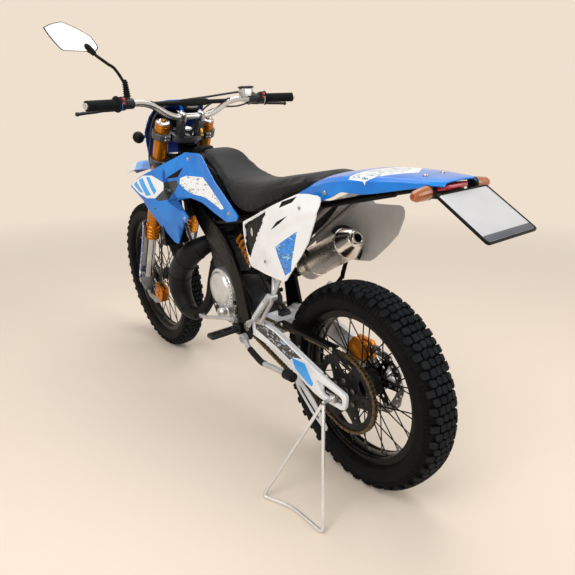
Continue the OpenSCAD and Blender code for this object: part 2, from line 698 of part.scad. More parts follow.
// One triple clamp with its lower face at w
module clamp_plate(w) {
  translate([0, 0, w]) linear_extrude(clamp_t) difference() {
    union() {
      for (s = [-1, 1]) translate([leg_u, s * fork_y]) circle(r = fork_r + 9);
      translate([stem_u, 0]) circle(r = 30);
      polygon([
        [stem_u - 26, -24], [leg_u - 30, -fork_y], [leg_u + 28, -fork_y], [leg_u + 14, 0],
        [leg_u + 28, fork_y], [leg_u - 30, fork_y], [stem_u - 26, 24]
      ]);
    }
    for (s = [-1, 1]) translate([leg_u, s * fork_y]) circle(r = fork_r + seat_gap);
  }
}
module triple_clamps() color("#4a4c50") along_fork() {
  clamp_plate(head_low - clamp_t);
  clamp_plate(head_high);
  translate([stem_u, 0, head_low - 10]) cylinder(h = head_high + clamp_t - head_low + 22, r = stem_r);
  // Risers for the handlebar
  for (s = [-1, 1]) translate([stem_u - 10, s * 38, head_high + clamp_t - 1])
    difference() {
      translate([-15, -11, 0]) cube([30, 22, 92]);
      translate([-3, -12, 78]) rotate([-90, 0, 0]) cylinder(h = 24, r = bar_r + seat_gap);
    }
}

// Top of the axle lugs, measured up the fork
lug_top = 50;
module fork_tubes() color(orange) along_fork() both_sides() {
  translate([leg_u, fork_y, fork_seal]) cylinder(h = fork_top - fork_seal, r = fork_r);
  translate([leg_u, fork_y, fork_seal - 1]) cylinder(h = 66, r = fork_r + 3.5);
  translate([leg_u, fork_y, lug_top - 1]) cylinder(h = fork_seal - lug_top + 2, r = stanchion_r);
  // Lug that holds the axle
  difference() {
    translate([leg_u - 20, fork_y - 17, -24]) cube([56, 34, lug_top + 24]);
    translate([0, fork_y - 20, 0]) rotate([-90, 0, 0]) cylinder(h = 40, r = front_axle_r + play);
  }
}

module fork_guards() color(white) along_fork() both_sides()
  translate([0, fork_y, lug_top + seat_gap]) linear_extrude(300) polygon([
    [leg_u + 34, -26], [leg_u + 38, 4], [leg_u + 28, 32], [leg_u, 40], [leg_u, 36.5], [leg_u + 26, 29],
    [leg_u + 34, 4], [leg_u + 31, -26]
  ]);

module front_axle() color(silver) at_front_axle() difference() {
  rotate([-90, 0, 0]) translate([0, 0, -114]) cylinder(h = 228, r = front_axle_r);
  rotate([-90, 0, 0]) translate([0, 0, -120]) cylinder(h = 60, r = 5);
}

module front_caliper() color(orange) along_fork() {
  difference() {
    translate([-146, front_disc_y - 17, -34]) cube([76, 36, 80]);
    rotate([-90, 0, 0]) translate([0, 0, front_disc_y - disc_t / 2 - 2]) cylinder(h = disc_t + 4, r = front_disc_r + 3);
  }
  // Bracket to the lug
  translate([-90, front_disc_y + 8, -14]) cube([-leg_u + 25, fork_y - 17 - seat_gap - front_disc_y - 8, 50]);
}

fender_outline = [
  [1033.5, 896], [1076.5, 920.3], [1150, 908], [1250, 902], [1360, 894], [1450, 884], [1530, 864],
  [1596, 830], [1602, 818], [1560, 826], [1450, 848], [1330, 862], [1240, 868], [1130, 872], [1050, 872]
];
module front_fender() color(white) intersection() {
  side_cut(fender_outline, -80, 80);
  plan_cut([
    [1020, 30], [1120, 50], [1180, 62], [1300, 58], [1450, 46], [1560, 36], [1604, 20], [1604, -20],
    [1560, -36], [1450, -46], [1300, -58], [1180, -62], [1120, -50], [1020, -30]
  ], 700, 1000);
}

// Shield in front of the fork, with the lamp in it
module headlight_mask() color("#16245c") along_fork() {
  intersection() {
    translate([0, 120, 0]) rotate([90, 0, 0]) linear_extrude(240)
      polygon([[12, 664], [92, 690], [128, 712], [112, 790], [52, 872], [24, 862], [46, 800], [66, 730]]);
    translate([0, 0, 600]) linear_extrude(300) polygon([
      [140, -40], [140, 40], [100, 88], [20, 118], [10, 112], [84, 78], [110, 34], [110, -34],
      [84, -78], [10, -112], [20, -118], [100, -88]
    ]);
  }
  color(silver) translate([62, 0, 744]) rotate([0, 78, 0]) cylinder(h = 46, r = 58);
  // Stays to the upper clamp
  both_sides() rod([3, 88, head_high + 14], [50, 101, head_high + 31], 5);
}

module front_indicators() color(black) both_sides() {
  translate([1152, 118, 1001]) sphere(r = 23);
  rod([1130, 96, 1003], [1148, 114, 1001], 6);
}

bar_mid = up_fork(stem_u - 13, 0, head_high + clamp_t + 77);
// The left half of the handlebar, from the middle out to its end
bar_half = [
  [bar_mid[0], 0, bar_mid[2], bar_r], [bar_mid[0], 50, bar_mid[2], bar_r], [bar_mid[0], 62, bar_mid[2], bar_r],
  [bar_mid[0] - 5, 98, bar_mid[2] + 12, bar_r], [bar_mid[0] - 12, 146, bar_mid[2] + bar_rise - 12, bar_r],
  [bar_mid[0] - 22, 192, bar_mid[2] + bar_rise, bar_r], [bar_mid[0] - 54, 296, bar_mid[2] + bar_rise - 1, bar_r],
  [bar_mid[0] - 88, bar_half_w - 3, bar_mid[2] + bar_rise - 3, bar_r]
];
module bar_tube(grow) {
  route = concat(mirrored(bar_half), [for (i = [1 : len(bar_half) - 1]) bar_half[i]]);
  tube([for (p = route) p + [0, 0, 0, grow]], ref = [0, 0, 1], steps = 3, sides = 16);
}
module handlebar() {
  color(silver) bar_tube(0);
  color(black) rod(
    [bar_mid[0] - 12, -170, bar_mid[2] + bar_rise - 5],
    [bar_mid[0] - 12, 170, bar_mid[2] + bar_rise - 5], 8
  );
}

// A point on the left half of the bar near its end, at y
function on_bar(y) = let (
  a = xyz(bar_half[6]), b = xyz(bar_half[7]), t = (y - a[1]) / (b[1] - a[1])
) a + t * (b - a);
grip_in = bar_half_w - grip_l;
module grips() color(black) difference() {
  both_sides() {
    rod(on_bar(grip_in), on_bar(bar_half_w), 16.5);
    rod(on_bar(grip_in - 5), on_bar(grip_in + 1), 26);
  }
  bar_tube(seat_gap);
}

perch_z = 1146;
module hand_controls() color(black) difference() {
  // Perches with their levers, and the mirror's boss
  both_sides() {
    rod(on_bar(grip_in - 60), on_bar(grip_in - 30), 18);
    rod([866, 248, 1124], [918, 262, 1110], 9);
    translate([866, 248, 1126]) cylinder(h = perch_z - 1126, r = 9);
    tube([[914, 250, 1111, 7], [918, 290, 1108, 6], [906, 350, 1104, 5], [886, 420, 1100, 6]],
      ref = [0, 0, 1], sides = 8);
    // Switch block or throttle housing
    rod(on_bar(grip_in - 27), on_bar(grip_in - 6), 21);
  }
  bar_tube(seat_gap);
}

// One mirror, on the left perch: rod, joints and a flat shell that faces the rider
mirror_foot = [866, 248, perch_z + seat_gap];
mirror_outline = [[468, 1350], [408, 1370], [398, 1369], [326, 1332], [306, 1300], [318, 1286], [418, 1288]];
module rear_view_mirror() color(black) {
  rod(mirror_foot, mirror_foot + [0, 0, 26], 11);
  tube([
    [866, 248, 1168, 5], [872, 252, 1196, 5], [882, 270, 1234, 5], [892, 304, 1262, 5],
    [904, 326, 1284, 9], [908, 334, 1294, 12]
  ], sides = 10);
  // Shell lies between two planes across the bike
  translate([900, 0, 0]) rotate([90, 0, 90]) linear_extrude(24) polygon(mirror_outline);
}

// Front brake hose: master cylinder, round the left fork leg, down inside it to the caliper.
// Points are [ahead of the axle, y, up the fork].
hose_r = 4;
hose_route = [
  [-68, -238, 958.5], [-34, -205, 938], [10, -110, 900], [22, 0, 880], [14, 84, 850], [4, 114, 800],
  [4, 114, 720], [5, 113, 650], [10, 84, 570], [0, 61, 500], [-28, 57, 420], [-34, 56, 330],
  [-60, 57, 250], [-92, 62, 150], [-106, 65, 90], [-108, 66, 46.3]
];
module brake_hoses() color(black) along_fork()
  tube([for (p = hose_route) [p[0], p[1], p[2], hose_r]], ref = [1, 0, 0.2], steps = 3, sides = 8);

// Folded up alongside the swingarm
module side_stand() color(silver) {
  difference() {
    cross_pin(side_pivot[0], side_pivot[2], 17, beam_outer_rear + 1, 136);
    cross_pin(side_pivot[0], side_pivot[2], side_pivot_r + play, 100, 150);
  }
  tube([
    [side_pivot[0] - 11, 126, 355, 9], [400, 138, 340, 9], [322, 146, 324, 9], [240, 151, 334, 9],
    [166, 156, 343, 9]
  ], ref = [0, 0, 1], sides = 12);
  color(black) rod([172, 155, 343], [130, 158, 346], 17);
}

on_stand() main_frame();
on_stand() swingarm();
on_stand() rear_axle();
on_stand() rear_shock();
on_stand() engine();
on_stand() engine_cover();
on_stand() radiators();
on_stand() exhaust_pipe();
on_stand() muffler();
on_stand() airbox();
on_stand() fuel_tank();
on_stand() radiator_shrouds();
on_stand() seat();
on_stand() side_panels();
on_stand() rear_fender();
on_stand() rear_lights();
on_stand() licence_plate();
on_stand() chain();
on_stand() chain_guard();
on_stand() rear_caliper();
on_stand() footpegs();
on_stand() passenger_pegs();
on_stand() foot_levers();
paddock_stand();
on_stand() triple_clamps();
on_stand() fork_tubes();
on_stand() fork_guards();
on_stand() front_axle();
on_stand() front_caliper();
on_stand() front_fender();
on_stand() headlight_mask();
on_stand() front_indicators();
on_stand() handlebar();
on_stand() grips();
on_stand() hand_controls();
on_stand() rear_view_mirror();
on_stand() brake_hoses();
on_stand() front_tyre();
on_stand() front_wheel();
on_stand() front_disc();
on_stand() rear_tyre();
on_stand() rear_wheel();
on_stand() rear_sprocket();
on_stand() rear_disc();
on_stand() side_stand();
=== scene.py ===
import math
import random

import bmesh
import bpy
from mathutils import Matrix, Vector


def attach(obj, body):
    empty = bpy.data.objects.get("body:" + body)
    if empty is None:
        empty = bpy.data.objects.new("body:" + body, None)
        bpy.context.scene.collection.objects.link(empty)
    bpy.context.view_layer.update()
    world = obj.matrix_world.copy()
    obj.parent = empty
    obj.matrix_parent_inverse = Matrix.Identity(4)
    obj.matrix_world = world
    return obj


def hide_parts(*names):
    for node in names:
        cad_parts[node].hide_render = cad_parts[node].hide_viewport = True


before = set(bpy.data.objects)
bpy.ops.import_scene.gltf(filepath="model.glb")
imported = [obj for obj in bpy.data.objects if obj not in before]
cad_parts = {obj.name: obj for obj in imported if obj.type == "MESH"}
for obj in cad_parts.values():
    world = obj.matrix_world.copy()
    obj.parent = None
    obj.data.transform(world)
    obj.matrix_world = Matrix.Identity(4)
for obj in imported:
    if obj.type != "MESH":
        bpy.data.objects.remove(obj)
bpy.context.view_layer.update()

# Studio ------------------------------------------------------------------------------------------
# A pale sand-coloured floor that runs out into a backdrop of the same colour, three soft boxes and
# an even sky. The camera stands behind the bike's left side at head height, looking forward.


def linear(colour):
    parts = [int(colour[i : i + 2], 16) / 255 for i in (1, 3, 5)]
    return [c / 12.92 if c <= 0.04045 else ((c + 0.055) / 1.055) ** 2.4 for c in parts] + [1]


def wired(tree, node, links):
    """Sets a node's inputs, or links them where a socket is given."""
    for key, value in links.items():
        if isinstance(value, bpy.types.NodeSocket):
            tree.links.new(value, node.inputs[key])
        else:
            node.inputs[key].default_value = value
    return node


def add(tree, kind, links=None, **settings):
    """Adds a node with its settings and links."""
    made = tree.nodes.new(kind)
    for key, value in settings.items():
        setattr(made, key, value)
    return wired(tree, made, links or {})


scene = bpy.context.scene
scene.view_settings.view_transform = "Standard"
sand = linear("#efe0ce")

world = bpy.data.worlds.new("even sky")
scene.world = world
world.use_nodes = True
tree = world.node_tree
tree.nodes.clear()
rays = add(tree, "ShaderNodeLightPath")
seen = add(
    tree, "ShaderNodeMath", {0: rays.outputs["Is Camera Ray"], 1: rays.outputs["Is Glossy Ray"]},
    operation="MAXIMUM"
)
seen = add(
    tree, "ShaderNodeMath", {0: seen.outputs[0], 1: rays.outputs["Is Transmission Ray"]}, operation="MAXIMUM"
)
sky = add(tree, "ShaderNodeBackground", {"Color": (1, 1, 1, 1), "Strength": 0.52})
back = add(tree, "ShaderNodeBackground", {"Color": sand, "Strength": 1.0})
both = add(tree, "ShaderNodeMixShader", {0: seen.outputs[0], 1: sky.outputs[0], 2: back.outputs[0]})
add(tree, "ShaderNodeOutputWorld", {"Surface": both.outputs[0]})

# Sand paper sweep: matt, and lit evenly far away so that no horizon shows
sweep_paper = bpy.data.materials.new("backdrop paper")
sweep_paper.use_nodes = True
tree = sweep_paper.node_tree
tree.nodes.clear()
place = add(tree, "ShaderNodeTexCoord")
far = add(tree, "ShaderNodeVectorMath", {0: place.outputs["Object"]}, operation="LENGTH")
fade = add(tree, "ShaderNodeMapRange", {"Value": far.outputs["Value"], "From Min": 1.6, "From Max": 5.0})
matt = add(tree, "ShaderNodeBsdfDiffuse", {"Color": linear("#ecdcca")})
glow = add(tree, "ShaderNodeEmission", {"Color": sand, "Strength": 1.0})
both = add(tree, "ShaderNodeMixShader", {0: fade.outputs[0], 1: matt.outputs[0], 2: glow.outputs[0]})
add(tree, "ShaderNodeOutputMaterial", {"Surface": both.outputs[0]})
bm = bmesh.new()
bmesh.ops.create_circle(bm, cap_ends=True, radius=30, segments=64)
floor_mesh = bpy.data.meshes.new("floor")
bm.to_mesh(floor_mesh)
floor_mesh.materials.append(sweep_paper)
floor = bpy.data.objects.new("floor", floor_mesh)
scene.collection.objects.link(floor)

for name, spot, size, power in [
    ("key box", (-1.6, 2.6, 3.2), 2.4, 80),
    ("fill box", (-3.2, -1.8, 2.2), 2.0, 34),
    ("top box", (0.4, -0.6, 3.6), 2.6, 48),
]:
    box = bpy.data.lights.new(name, "AREA")
    box.size = size
    box.energy = power
    lamp = bpy.data.objects.new(name, box)
    lamp.location = spot
    lamp.rotation_euler = (Vector((0, 0, 0.5)) - lamp.location).to_track_quat("-Z", "Y").to_euler()
    scene.collection.objects.link(lamp)

lens = bpy.data.cameras.new("camera")
lens.lens = 34.04
lens.shift_x = -0.0303
lens.shift_y = 0.0384
camera = bpy.data.objects.new("camera", lens)
camera.location = (-1.6903, 0.9444, 1.0535)
camera.rotation_euler = (
    Vector((0.3993, -0.6831, 0.1354)) - camera.location
).to_track_quat("-Z", "Y").to_euler()
scene.collection.objects.link(camera)
scene.camera = camera

# Tyres -------------------------------------------------------------------------------------------
# Moulded rubber: a thin-walled carcass with square cobbled blocks, in rows that change a little from
# one to the next, and short ribs on the shoulders. Black rubber looks dark grey on its worn block tops.

# Sizes are in millimetres on an upright bike: x forward from the rear axle, y to the left, z up
lean = math.radians(3.34)
rake = math.radians(29.5)
T = Matrix.Translation
# Where the rear axle stands over the floor, and the floor's own frame there
FLOOR = T((-0.653, -0.0995, 0)) @ Matrix.Scale(0.001, 4)
BIKE = T((-0.653, -0.0995, 0)) @ Matrix.Rotation(-lean, 4, "X") @ Matrix.Scale(0.001, 4)
REAR_AXLE = BIKE @ T((0, 0, 316))
FRONT_AXLE = BIKE @ T((1400, 0, 350))
FORK = FRONT_AXLE @ Matrix.Rotation(-rake, 4, "Y")
# Faces that meet at more than this show an edge
fold_angle = math.radians(38)
# Stands a shape that was turned about z across the bike, about y
ACROSS = Matrix.Rotation(math.radians(-90), 4, "X")


def fit(name, mesh, at, body, finishes, nodes=(), smooth=True, bevel=0, levels=0):
    """Puts a mesh that was made in millimetres in its place on a body."""
    mesh.transform(at)
    bm = bmesh.new()
    bm.from_mesh(mesh)
    if not mesh.name.startswith("moulding"):
        bmesh.ops.remove_doubles(bm, verts=bm.verts, dist=2e-6)
    bmesh.ops.recalc_face_normals(bm, faces=bm.faces)
    bm.to_mesh(mesh)
    bm.free()
    kinds = [face.material_index for face in mesh.polygons]
    mesh.materials.clear()
    for finish in finishes if isinstance(finishes, (list, tuple)) else [finishes]:
        mesh.materials.append(finish)
    mesh.polygons.foreach_set("material_index", kinds)
    if smooth:
        mesh.shade_smooth()
        mesh.set_sharp_from_angle(angle=fold_angle)
    piece = bpy.data.objects.new(name, mesh)
    scene.collection.objects.link(piece)
    if bevel:
        edges = piece.modifiers.new("edges", "BEVEL")
        edges.width = bevel / 1000
        edges.segments = 2
        edges.limit_method = "ANGLE"
        edges.angle_limit = math.radians(35)
        edges.harden_normals = True
    if levels:
        soft = piece.modifiers.new("soft", "SUBSURF")
        soft.levels = soft.render_levels = levels
    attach(piece, body)
    if nodes:
        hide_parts(*([nodes] if isinstance(nodes, str) else nodes))
    return piece


def from_faces(verts, faces):
    mesh = bpy.data.meshes.new("piece")
    mesh.from_pydata([tuple(v) for v in verts], [], faces)
    mesh.update()
    return mesh


def joined(*meshes):
    """One mesh from several, keeping each one's place and finish numbers."""
    bm = bmesh.new()
    for mesh in meshes:
        bm.from_mesh(mesh)
    whole = bpy.data.meshes.new("piece")
    bm.to_mesh(whole)
    bm.free()
    return whole


def moved(mesh, at):
    mesh.transform(at)
    return mesh


def turned(profile, sides=96, ring=False, numbers=None):
    """Solid turned about z from [radius, height] points; ring joins the last point to the first."""
    rows = len(profile)
    verts = [
        (r * math.cos(2 * math.pi * k / sides), r * math.sin(2 * math.pi * k / sides), h)
        for k in range(sides)
        for r, h in profile
    ]
    faces, kinds = [], []
    for k in range(sides):
        for i in range(rows if ring else rows - 1):
            a, b, c, d = k * rows, ((k + 1) % sides) * rows, i, (i + 1) % rows
            faces.append((a + c, b + c, b + d, a + d))
            kinds.append(numbers[i] if numbers else 0)
    mesh = from_faces(verts, faces)
    mesh.polygons.foreach_set("material_index", kinds)
    return mesh


def bare(name):
    """A new finish: itself, its tree, its skin, and the coordinates of the piece that wears it."""
    finish = bpy.data.materials.new(name)
    finish.use_nodes = True
    tree = finish.node_tree
    place = add(tree, "ShaderNodeTexCoord").outputs["Object"]
    return finish, tree, tree.nodes["Principled BSDF"], place


def rubber(name, colour, worn, grain_mm, roughness):
    """Moulded rubber: fine pits, and dust that lightens it in patches."""
    finish, tree, skin, place = bare(name)
    dust = add(tree, "ShaderNodeTexNoise", {"Vector": place, "Scale": 22.0, "Detail": 5.0, "Roughness": 0.65})
    shade = add(tree, "ShaderNodeValToRGB", {"Fac": dust.outputs[0]})
    shade.color_ramp.elements[0].position = 0.38
    shade.color_ramp.elements[0].color = linear(colour)
    shade.color_ramp.elements[1].position = 0.72
    shade.color_ramp.elements[1].color = linear(worn)
    pits = add(tree, "ShaderNodeTexNoise", {"Vector": place, "Scale": 1000 / grain_mm, "Detail": 3.0})
    dents = add(tree, "ShaderNodeBump", {"Height": pits.outputs[0], "Strength": 0.5, "Distance": 0.0008})
    wired(tree, skin, {
        "Base Color": shade.outputs[0],
        "Normal": dents.outputs[0],
        "Roughness": roughness,
        "Specular IOR Level": 0.08,
    })
    return finish


# Tyre rubber: carbon black makes it near black, and the scrubbed block tops are greyer
tyre_wall = rubber("moulded tyre rubber", "#08090a", "#101113", 2.5, 0.55)
tyre_top = rubber("scrubbed tyre rubber", "#15171a", "#24272b", 3.0, 0.72)


def new_tree(title, **inputs):
    """An empty tree with its named inputs, and the node that gives them."""
    group = bpy.data.node_groups.new(title, "GeometryNodeTree")
    for name, kind in inputs.items():
        group.interface.new_socket(name, in_out="INPUT", socket_type="NodeSocket" + kind)
    group.interface.new_socket("Geometry", in_out="OUTPUT", socket_type="NodeSocketGeometry")
    return group, group.nodes.new("NodeGroupInput")


def ended(group, given, items):
    """The end of a tree: its items made real, and painted."""
    real = add(group, "GeometryNodeRealizeInstances", {0: items.outputs[0]})
    painted = add(
        group, "GeometryNodeSetMaterial", {"Geometry": real.outputs[0], "Material": given.outputs["Finish"]}
    )
    add(group, "NodeGroupOutput", {0: painted.outputs[0]})
    return group


def plain(thing):
    """A mesh of an object as its modifiers leave it."""
    return bpy.data.meshes.new_from_object(thing.evaluated_get(bpy.context.evaluated_depsgraph_get()))


def wheel_of_rows():
    """Repeats one item round the wheel's axle, as a tyre mould, hub or sprocket does."""
    group, given = new_tree("rows round a wheel", Item="Object", Rows="Int", Finish="Material")
    item = add(group, "GeometryNodeObjectInfo", {"Object": given.outputs["Item"], "As Instance": True})
    spots = add(group, "GeometryNodeMeshLine", {"Count": given.outputs["Rows"], "Offset": (0, 0, 0)})
    number = add(group, "GeometryNodeInputIndex")
    share = add(group, "ShaderNodeMath", {0: number.outputs[0], 1: given.outputs["Rows"]}, operation="DIVIDE")
    turn = add(group, "ShaderNodeMath", {0: share.outputs[0], 1: 2 * math.pi}, operation="MULTIPLY")
    about = add(group, "ShaderNodeCombineXYZ", {"Y": turn.outputs[0]})
    rows = add(
        group, "GeometryNodeInstanceOnPoints",
        {"Points": spots.outputs[0], "Instance": item.outputs["Geometry"], "Rotation": about.outputs[0]}
    )
    return ended(group, given, rows)


def grown(group, start=None, **values):
    """The plain mesh that a tree makes, with its named sizes set."""
    holder = bpy.data.objects.new("holder", start or bpy.data.meshes.new("holder"))
    scene.collection.objects.link(holder)
    maker = holder.modifiers.new("maker", "NODES")
    maker.node_group = group
    for socket in group.interface.items_tree:
        if socket.in_out == "INPUT" and socket.name in values:
            maker[socket.identifier] = values[socket.name]
    made = plain(holder)
    bpy.data.objects.remove(holder)
    for value in values.values():
        if isinstance(value, bpy.types.Object):
            bpy.data.objects.remove(value)
    return made


rows_round_wheel = wheel_of_rows()


def item_of(mesh):
    item = bpy.data.objects.new("item", mesh)
    scene.collection.objects.link(item)
    return item


def round_wheel(mesh, count):
    return grown(
        rows_round_wheel, Item=item_of(mesh), Rows=count, Finish=mesh.materials[0] if mesh.materials else None
    )


def tyre(name, node, body, at, radius, width, bead, rim_w, pitches, block_h, seed):
    half = width / 2
    mid = (radius - block_h + bead) / 2
    depth = radius - block_h - mid
    wall = half - 1.5

    def carcass(t):
        s, c = math.sin(t), math.cos(t)
        return (
            mid + depth * math.copysign(abs(s) ** 0.75, s),
            wall * math.copysign(abs(c) ** 0.72, c),
        )

    outer = [carcass(math.radians(t)) for t in range(-36, 217, 6)]
    # Moulded rings stand on the sidewall
    outer = [
        (r, y + math.copysign(1.1, y) * (i % 3 == 1) * (abs(y) > wall * 0.8))
        for i, (r, y) in enumerate(outer)
    ]
    section = outer + [
        (bead + 9, -rim_w / 2 - 1), (bead + 2, -rim_w / 2 + 6), (bead + 2, rim_w / 2 - 6),
        (bead + 9, rim_w / 2 + 1)
    ]
    shell = moved(turned(section, 128, ring=True), ACROSS)

    # One pitch of the tread: rows of blocks across the crown, each as [along, across, half sizes]
    rng = random.Random(seed)
    angle = 2 * math.pi / pitches
    arc = angle * radius
    crown = half * 0.93
    across = 5
    blocks = []
    for row in range(4):
        for k in range(across if row % 2 == 0 else across - 1):
            spread = (k - (across - 1) / 2 + (0 if row % 2 == 0 else 0.5)) * 2 * crown / (across - 0.15)
            blocks.append(
                ((row + 0.5) * arc / 4 + rng.uniform(-1.2, 1.2), spread * 0.93 + rng.uniform(-0.8, 0.8))
            )
    verts, faces, kinds = [], [], []

    def point(along, y, height):
        lift = min(1, abs(y) / half)
        # Follow the carcass: its radius at y and the way it faces there
        t = math.acos(min(1, lift ** (1 / 0.72) if lift else 0))
        r = mid + depth * math.sin(t) ** 0.75
        tilt = math.radians(62) * lift**3
        a = along / radius
        rr = r + height * math.cos(tilt)
        return (rr * math.sin(a), math.copysign(abs(y) + height * math.sin(tilt) * 0.55, y), rr * math.cos(a))

    for along, y in blocks:
        hx = arc / 8 * rng.uniform(0.80, 0.92)
        hy = crown / across * rng.uniform(0.80, 0.90)
        skew = rng.uniform(-0.24, 0.24)
        cut = rng.uniform(0.45, 0.85)
        shape = [(1, cut), (cut, 1), (-cut, 1), (-1, cut), (-1, -cut), (-cut, -1), (cut, -1), (1, -cut)]
        first = len(verts)
        for grow, height in [(1.10, -2), (1.0, block_h * 0.82), (0.86, block_h)]:
            for u, v in shape:
                verts.append(point(along + (u + skew * v) * hx * grow, y + v * hy * grow, height))
        # A shallow dimple marks each block's top
        for u, v in shape:
            verts.append(point(along + u * hx * 0.4, y + v * hy * 0.4, block_h - 0.8))
        for ring in range(3):
            for k in range(8):
                a, b = first + ring * 8 + k, first + ring * 8 + (k + 1) % 8
                faces.append((a, b, b + 8, a + 8))
                kinds.append(0 if ring == 0 else 1)
        faces.append(tuple(first + 24 + k for k in range(8)))
        kinds.append(1)
    # Ribs down the shoulder
    for k in range(7):
        for side in (1, -1):
            along = (k + 0.5) * arc / 7
            first = len(verts)
            tips = [math.radians(v) for v in (44, 33, 22, 12)]
            for t in tips:
                r, y = carcass(t)
                for da, lift in [(-2.6, -1), (-1.4, 2.4), (1.4, 2.4), (2.6, -1)]:
                    a = (along + da + (k % 2) * 1.5) / radius
                    rr = r + lift * math.sin(t) * 0.8
                    verts.append((rr * math.sin(a), side * (abs(y) + lift * math.cos(t)), rr * math.cos(a)))
            for i in range(3):
                for j in range(3):
                    a = first + i * 4 + j
                    quad = (a, a + 4, a + 5, a + 1)
                    faces.append(quad if side > 0 else quad[::-1])
                    kinds.append(0)
    row = from_faces(verts, faces)
    row.polygons.foreach_set("material_index", kinds)
    tread = []
    for kind, finish in [(0, tyre_wall), (1, tyre_top)]:
        bm = bmesh.new()
        bm.from_mesh(row)
        bmesh.ops.delete(bm, geom=[f for f in bm.faces if f.material_index != kind], context="FACES")
        part = bpy.data.meshes.new("row")
        bm.to_mesh(part)
        bm.free()
        part.materials.append(finish)
        ring = round_wheel(part, pitches)
        ring.polygons.foreach_set("material_index", [kind] * len(ring.polygons))
        tread.append(ring)
    return fit(name, joined(shell, *tread), at, body, [tyre_wall, tyre_top], node)


tyre("front_tyre_tread", "front_tyre", "front_wheel_set", FRONT_AXLE, 350, 86, 267, 50, 24, 10, 5)
tyre("rear_tyre_tread", "rear_tyre", "rear_wheel_set", REAR_AXLE, 316, 111, 230, 62, 20, 11, 9)

# Wheels ------------------------------------------------------------------------------------------
# Rolled aluminium rims under gloss black enamel, laced to cast hubs with 36 crossed black steel
# spokes. Brass nipples sit in the rim, and a blue cap closes each valve.


def metal(
    name, colour, darker, roughness, scale_mm=(3, 3, 3), bump=0.2, patch_mm=60, metallic=1.0, shine=0.5
):
    """Metal with a machined or cast grain: scale_mm is the grain's size along x, y and z."""
    finish, tree, skin, place = bare(name)
    patches = add(tree, "ShaderNodeTexNoise", {"Vector": place, "Scale": 1000 / patch_mm, "Detail": 4.0})
    stretch = add(tree, "ShaderNodeMapping", {"Vector": place, "Scale": tuple(1000 / s for s in scale_mm)})
    grain = add(tree, "ShaderNodeTexNoise", {"Vector": stretch.outputs[0], "Scale": 1.0, "Detail": 3.0})
    mixed = add(tree, "ShaderNodeMath", {0: patches.outputs[0], 1: grain.outputs[0]}, operation="ADD")
    fac = add(tree, "ShaderNodeMapRange", {"Value": mixed.outputs[0], "From Min": 0.7, "From Max": 1.3})
    shade = add(
        tree, "ShaderNodeMix", {0: fac.outputs[0], 6: linear(darker), 7: linear(colour)}, data_type="RGBA"
    )
    rough = add(
        tree, "ShaderNodeMapRange",
        {
            "Value": mixed.outputs[0], "From Min": 0.7, "From Max": 1.3, "To Min": roughness * 1.25,
            "To Max": roughness * 0.8
        }
    )
    dents = add(tree, "ShaderNodeBump", {"Height": grain.outputs[0], "Strength": bump, "Distance": 0.0006})
    wired(tree, skin, {
        "Base Color": shade.outputs[2],
        "Roughness": rough.outputs[0],
        "Normal": dents.outputs[0],
        "Metallic": metallic,
        "Specular IOR Level": shine,
    })
    return finish


# Enamel over metal: dark, glossy, with a slight orange peel of 4 mm
rim_enamel = metal(
    "gloss black wheel enamel", "#08090a", "#050506", 0.26, (4, 4, 4), 0.08, metallic=0.0, shine=0.12
)
rim_enamel.node_tree.nodes["Principled BSDF"].inputs["Coat Weight"].default_value = 0.1
# Black zinc on drawn wire
spoke_steel = metal("black zinc spoke wire", "#2a2b2d", "#18191a", 0.38, (2, 2, 2), 0.1)
cast_hub = metal("cast aluminium hub", "#3c3d40", "#26272a", 0.45, (2, 2, 2), 0.3)
nipple_brass = metal("nickelled brass", "#8d8c88", "#5f5d58", 0.35)


def heading(a, b):
    """Stands a shape made along z at point a, facing point b."""
    a, b = Vector(a), Vector(b)
    return T(a) @ (b - a).to_track_quat("Z", "Y").to_matrix().to_4x4()


def set_out():
    """Sets one item at each vertex, turned and stretched by the vertex's own aim, up and size."""
    group, given = new_tree("items set out on points", Geometry="Geometry", Item="Object", Finish="Material")
    item = add(group, "GeometryNodeObjectInfo", {"Object": given.outputs["Item"], "As Instance": True})
    own = [
        add(group, "GeometryNodeInputNamedAttribute", {"Name": name}, data_type="FLOAT_VECTOR")
        for name in ("aim", "up", "size")
    ]
    turn = add(
        group, "FunctionNodeAxesToRotation", {0: own[0].outputs[0], 1: own[1].outputs[0]}, primary_axis="Z",
        secondary_axis="X"
    )
    items = add(
        group, "GeometryNodeInstanceOnPoints",
        {
            "Points": given.outputs["Geometry"], "Instance": item.outputs["Geometry"],
            "Rotation": turn.outputs[0], "Scale": own[2].outputs[0]
        }
    )
    return ended(group, given, items)


items_set_out = set_out()


def set_items(mesh, places):
    """Copies of mesh at [point, aim, up, size] places, in millimetres."""
    spots = bpy.data.meshes.new("spots")
    spots.from_pydata([tuple(p[0]) for p in places], [], [])
    for k, name in enumerate(("aim", "up", "size")):
        layer = spots.attributes.new(name, "FLOAT_VECTOR", "POINT")
        layer.data.foreach_set("vector", [c for p in places for c in p[k + 1]])
    return grown(
        items_set_out, spots, Item=item_of(mesh), Finish=mesh.materials[0] if mesh.materials else None
    )


def numbered(mesh, number):
    mesh.polygons.foreach_set("material_index", [number] * len(mesh.polygons))
    return mesh


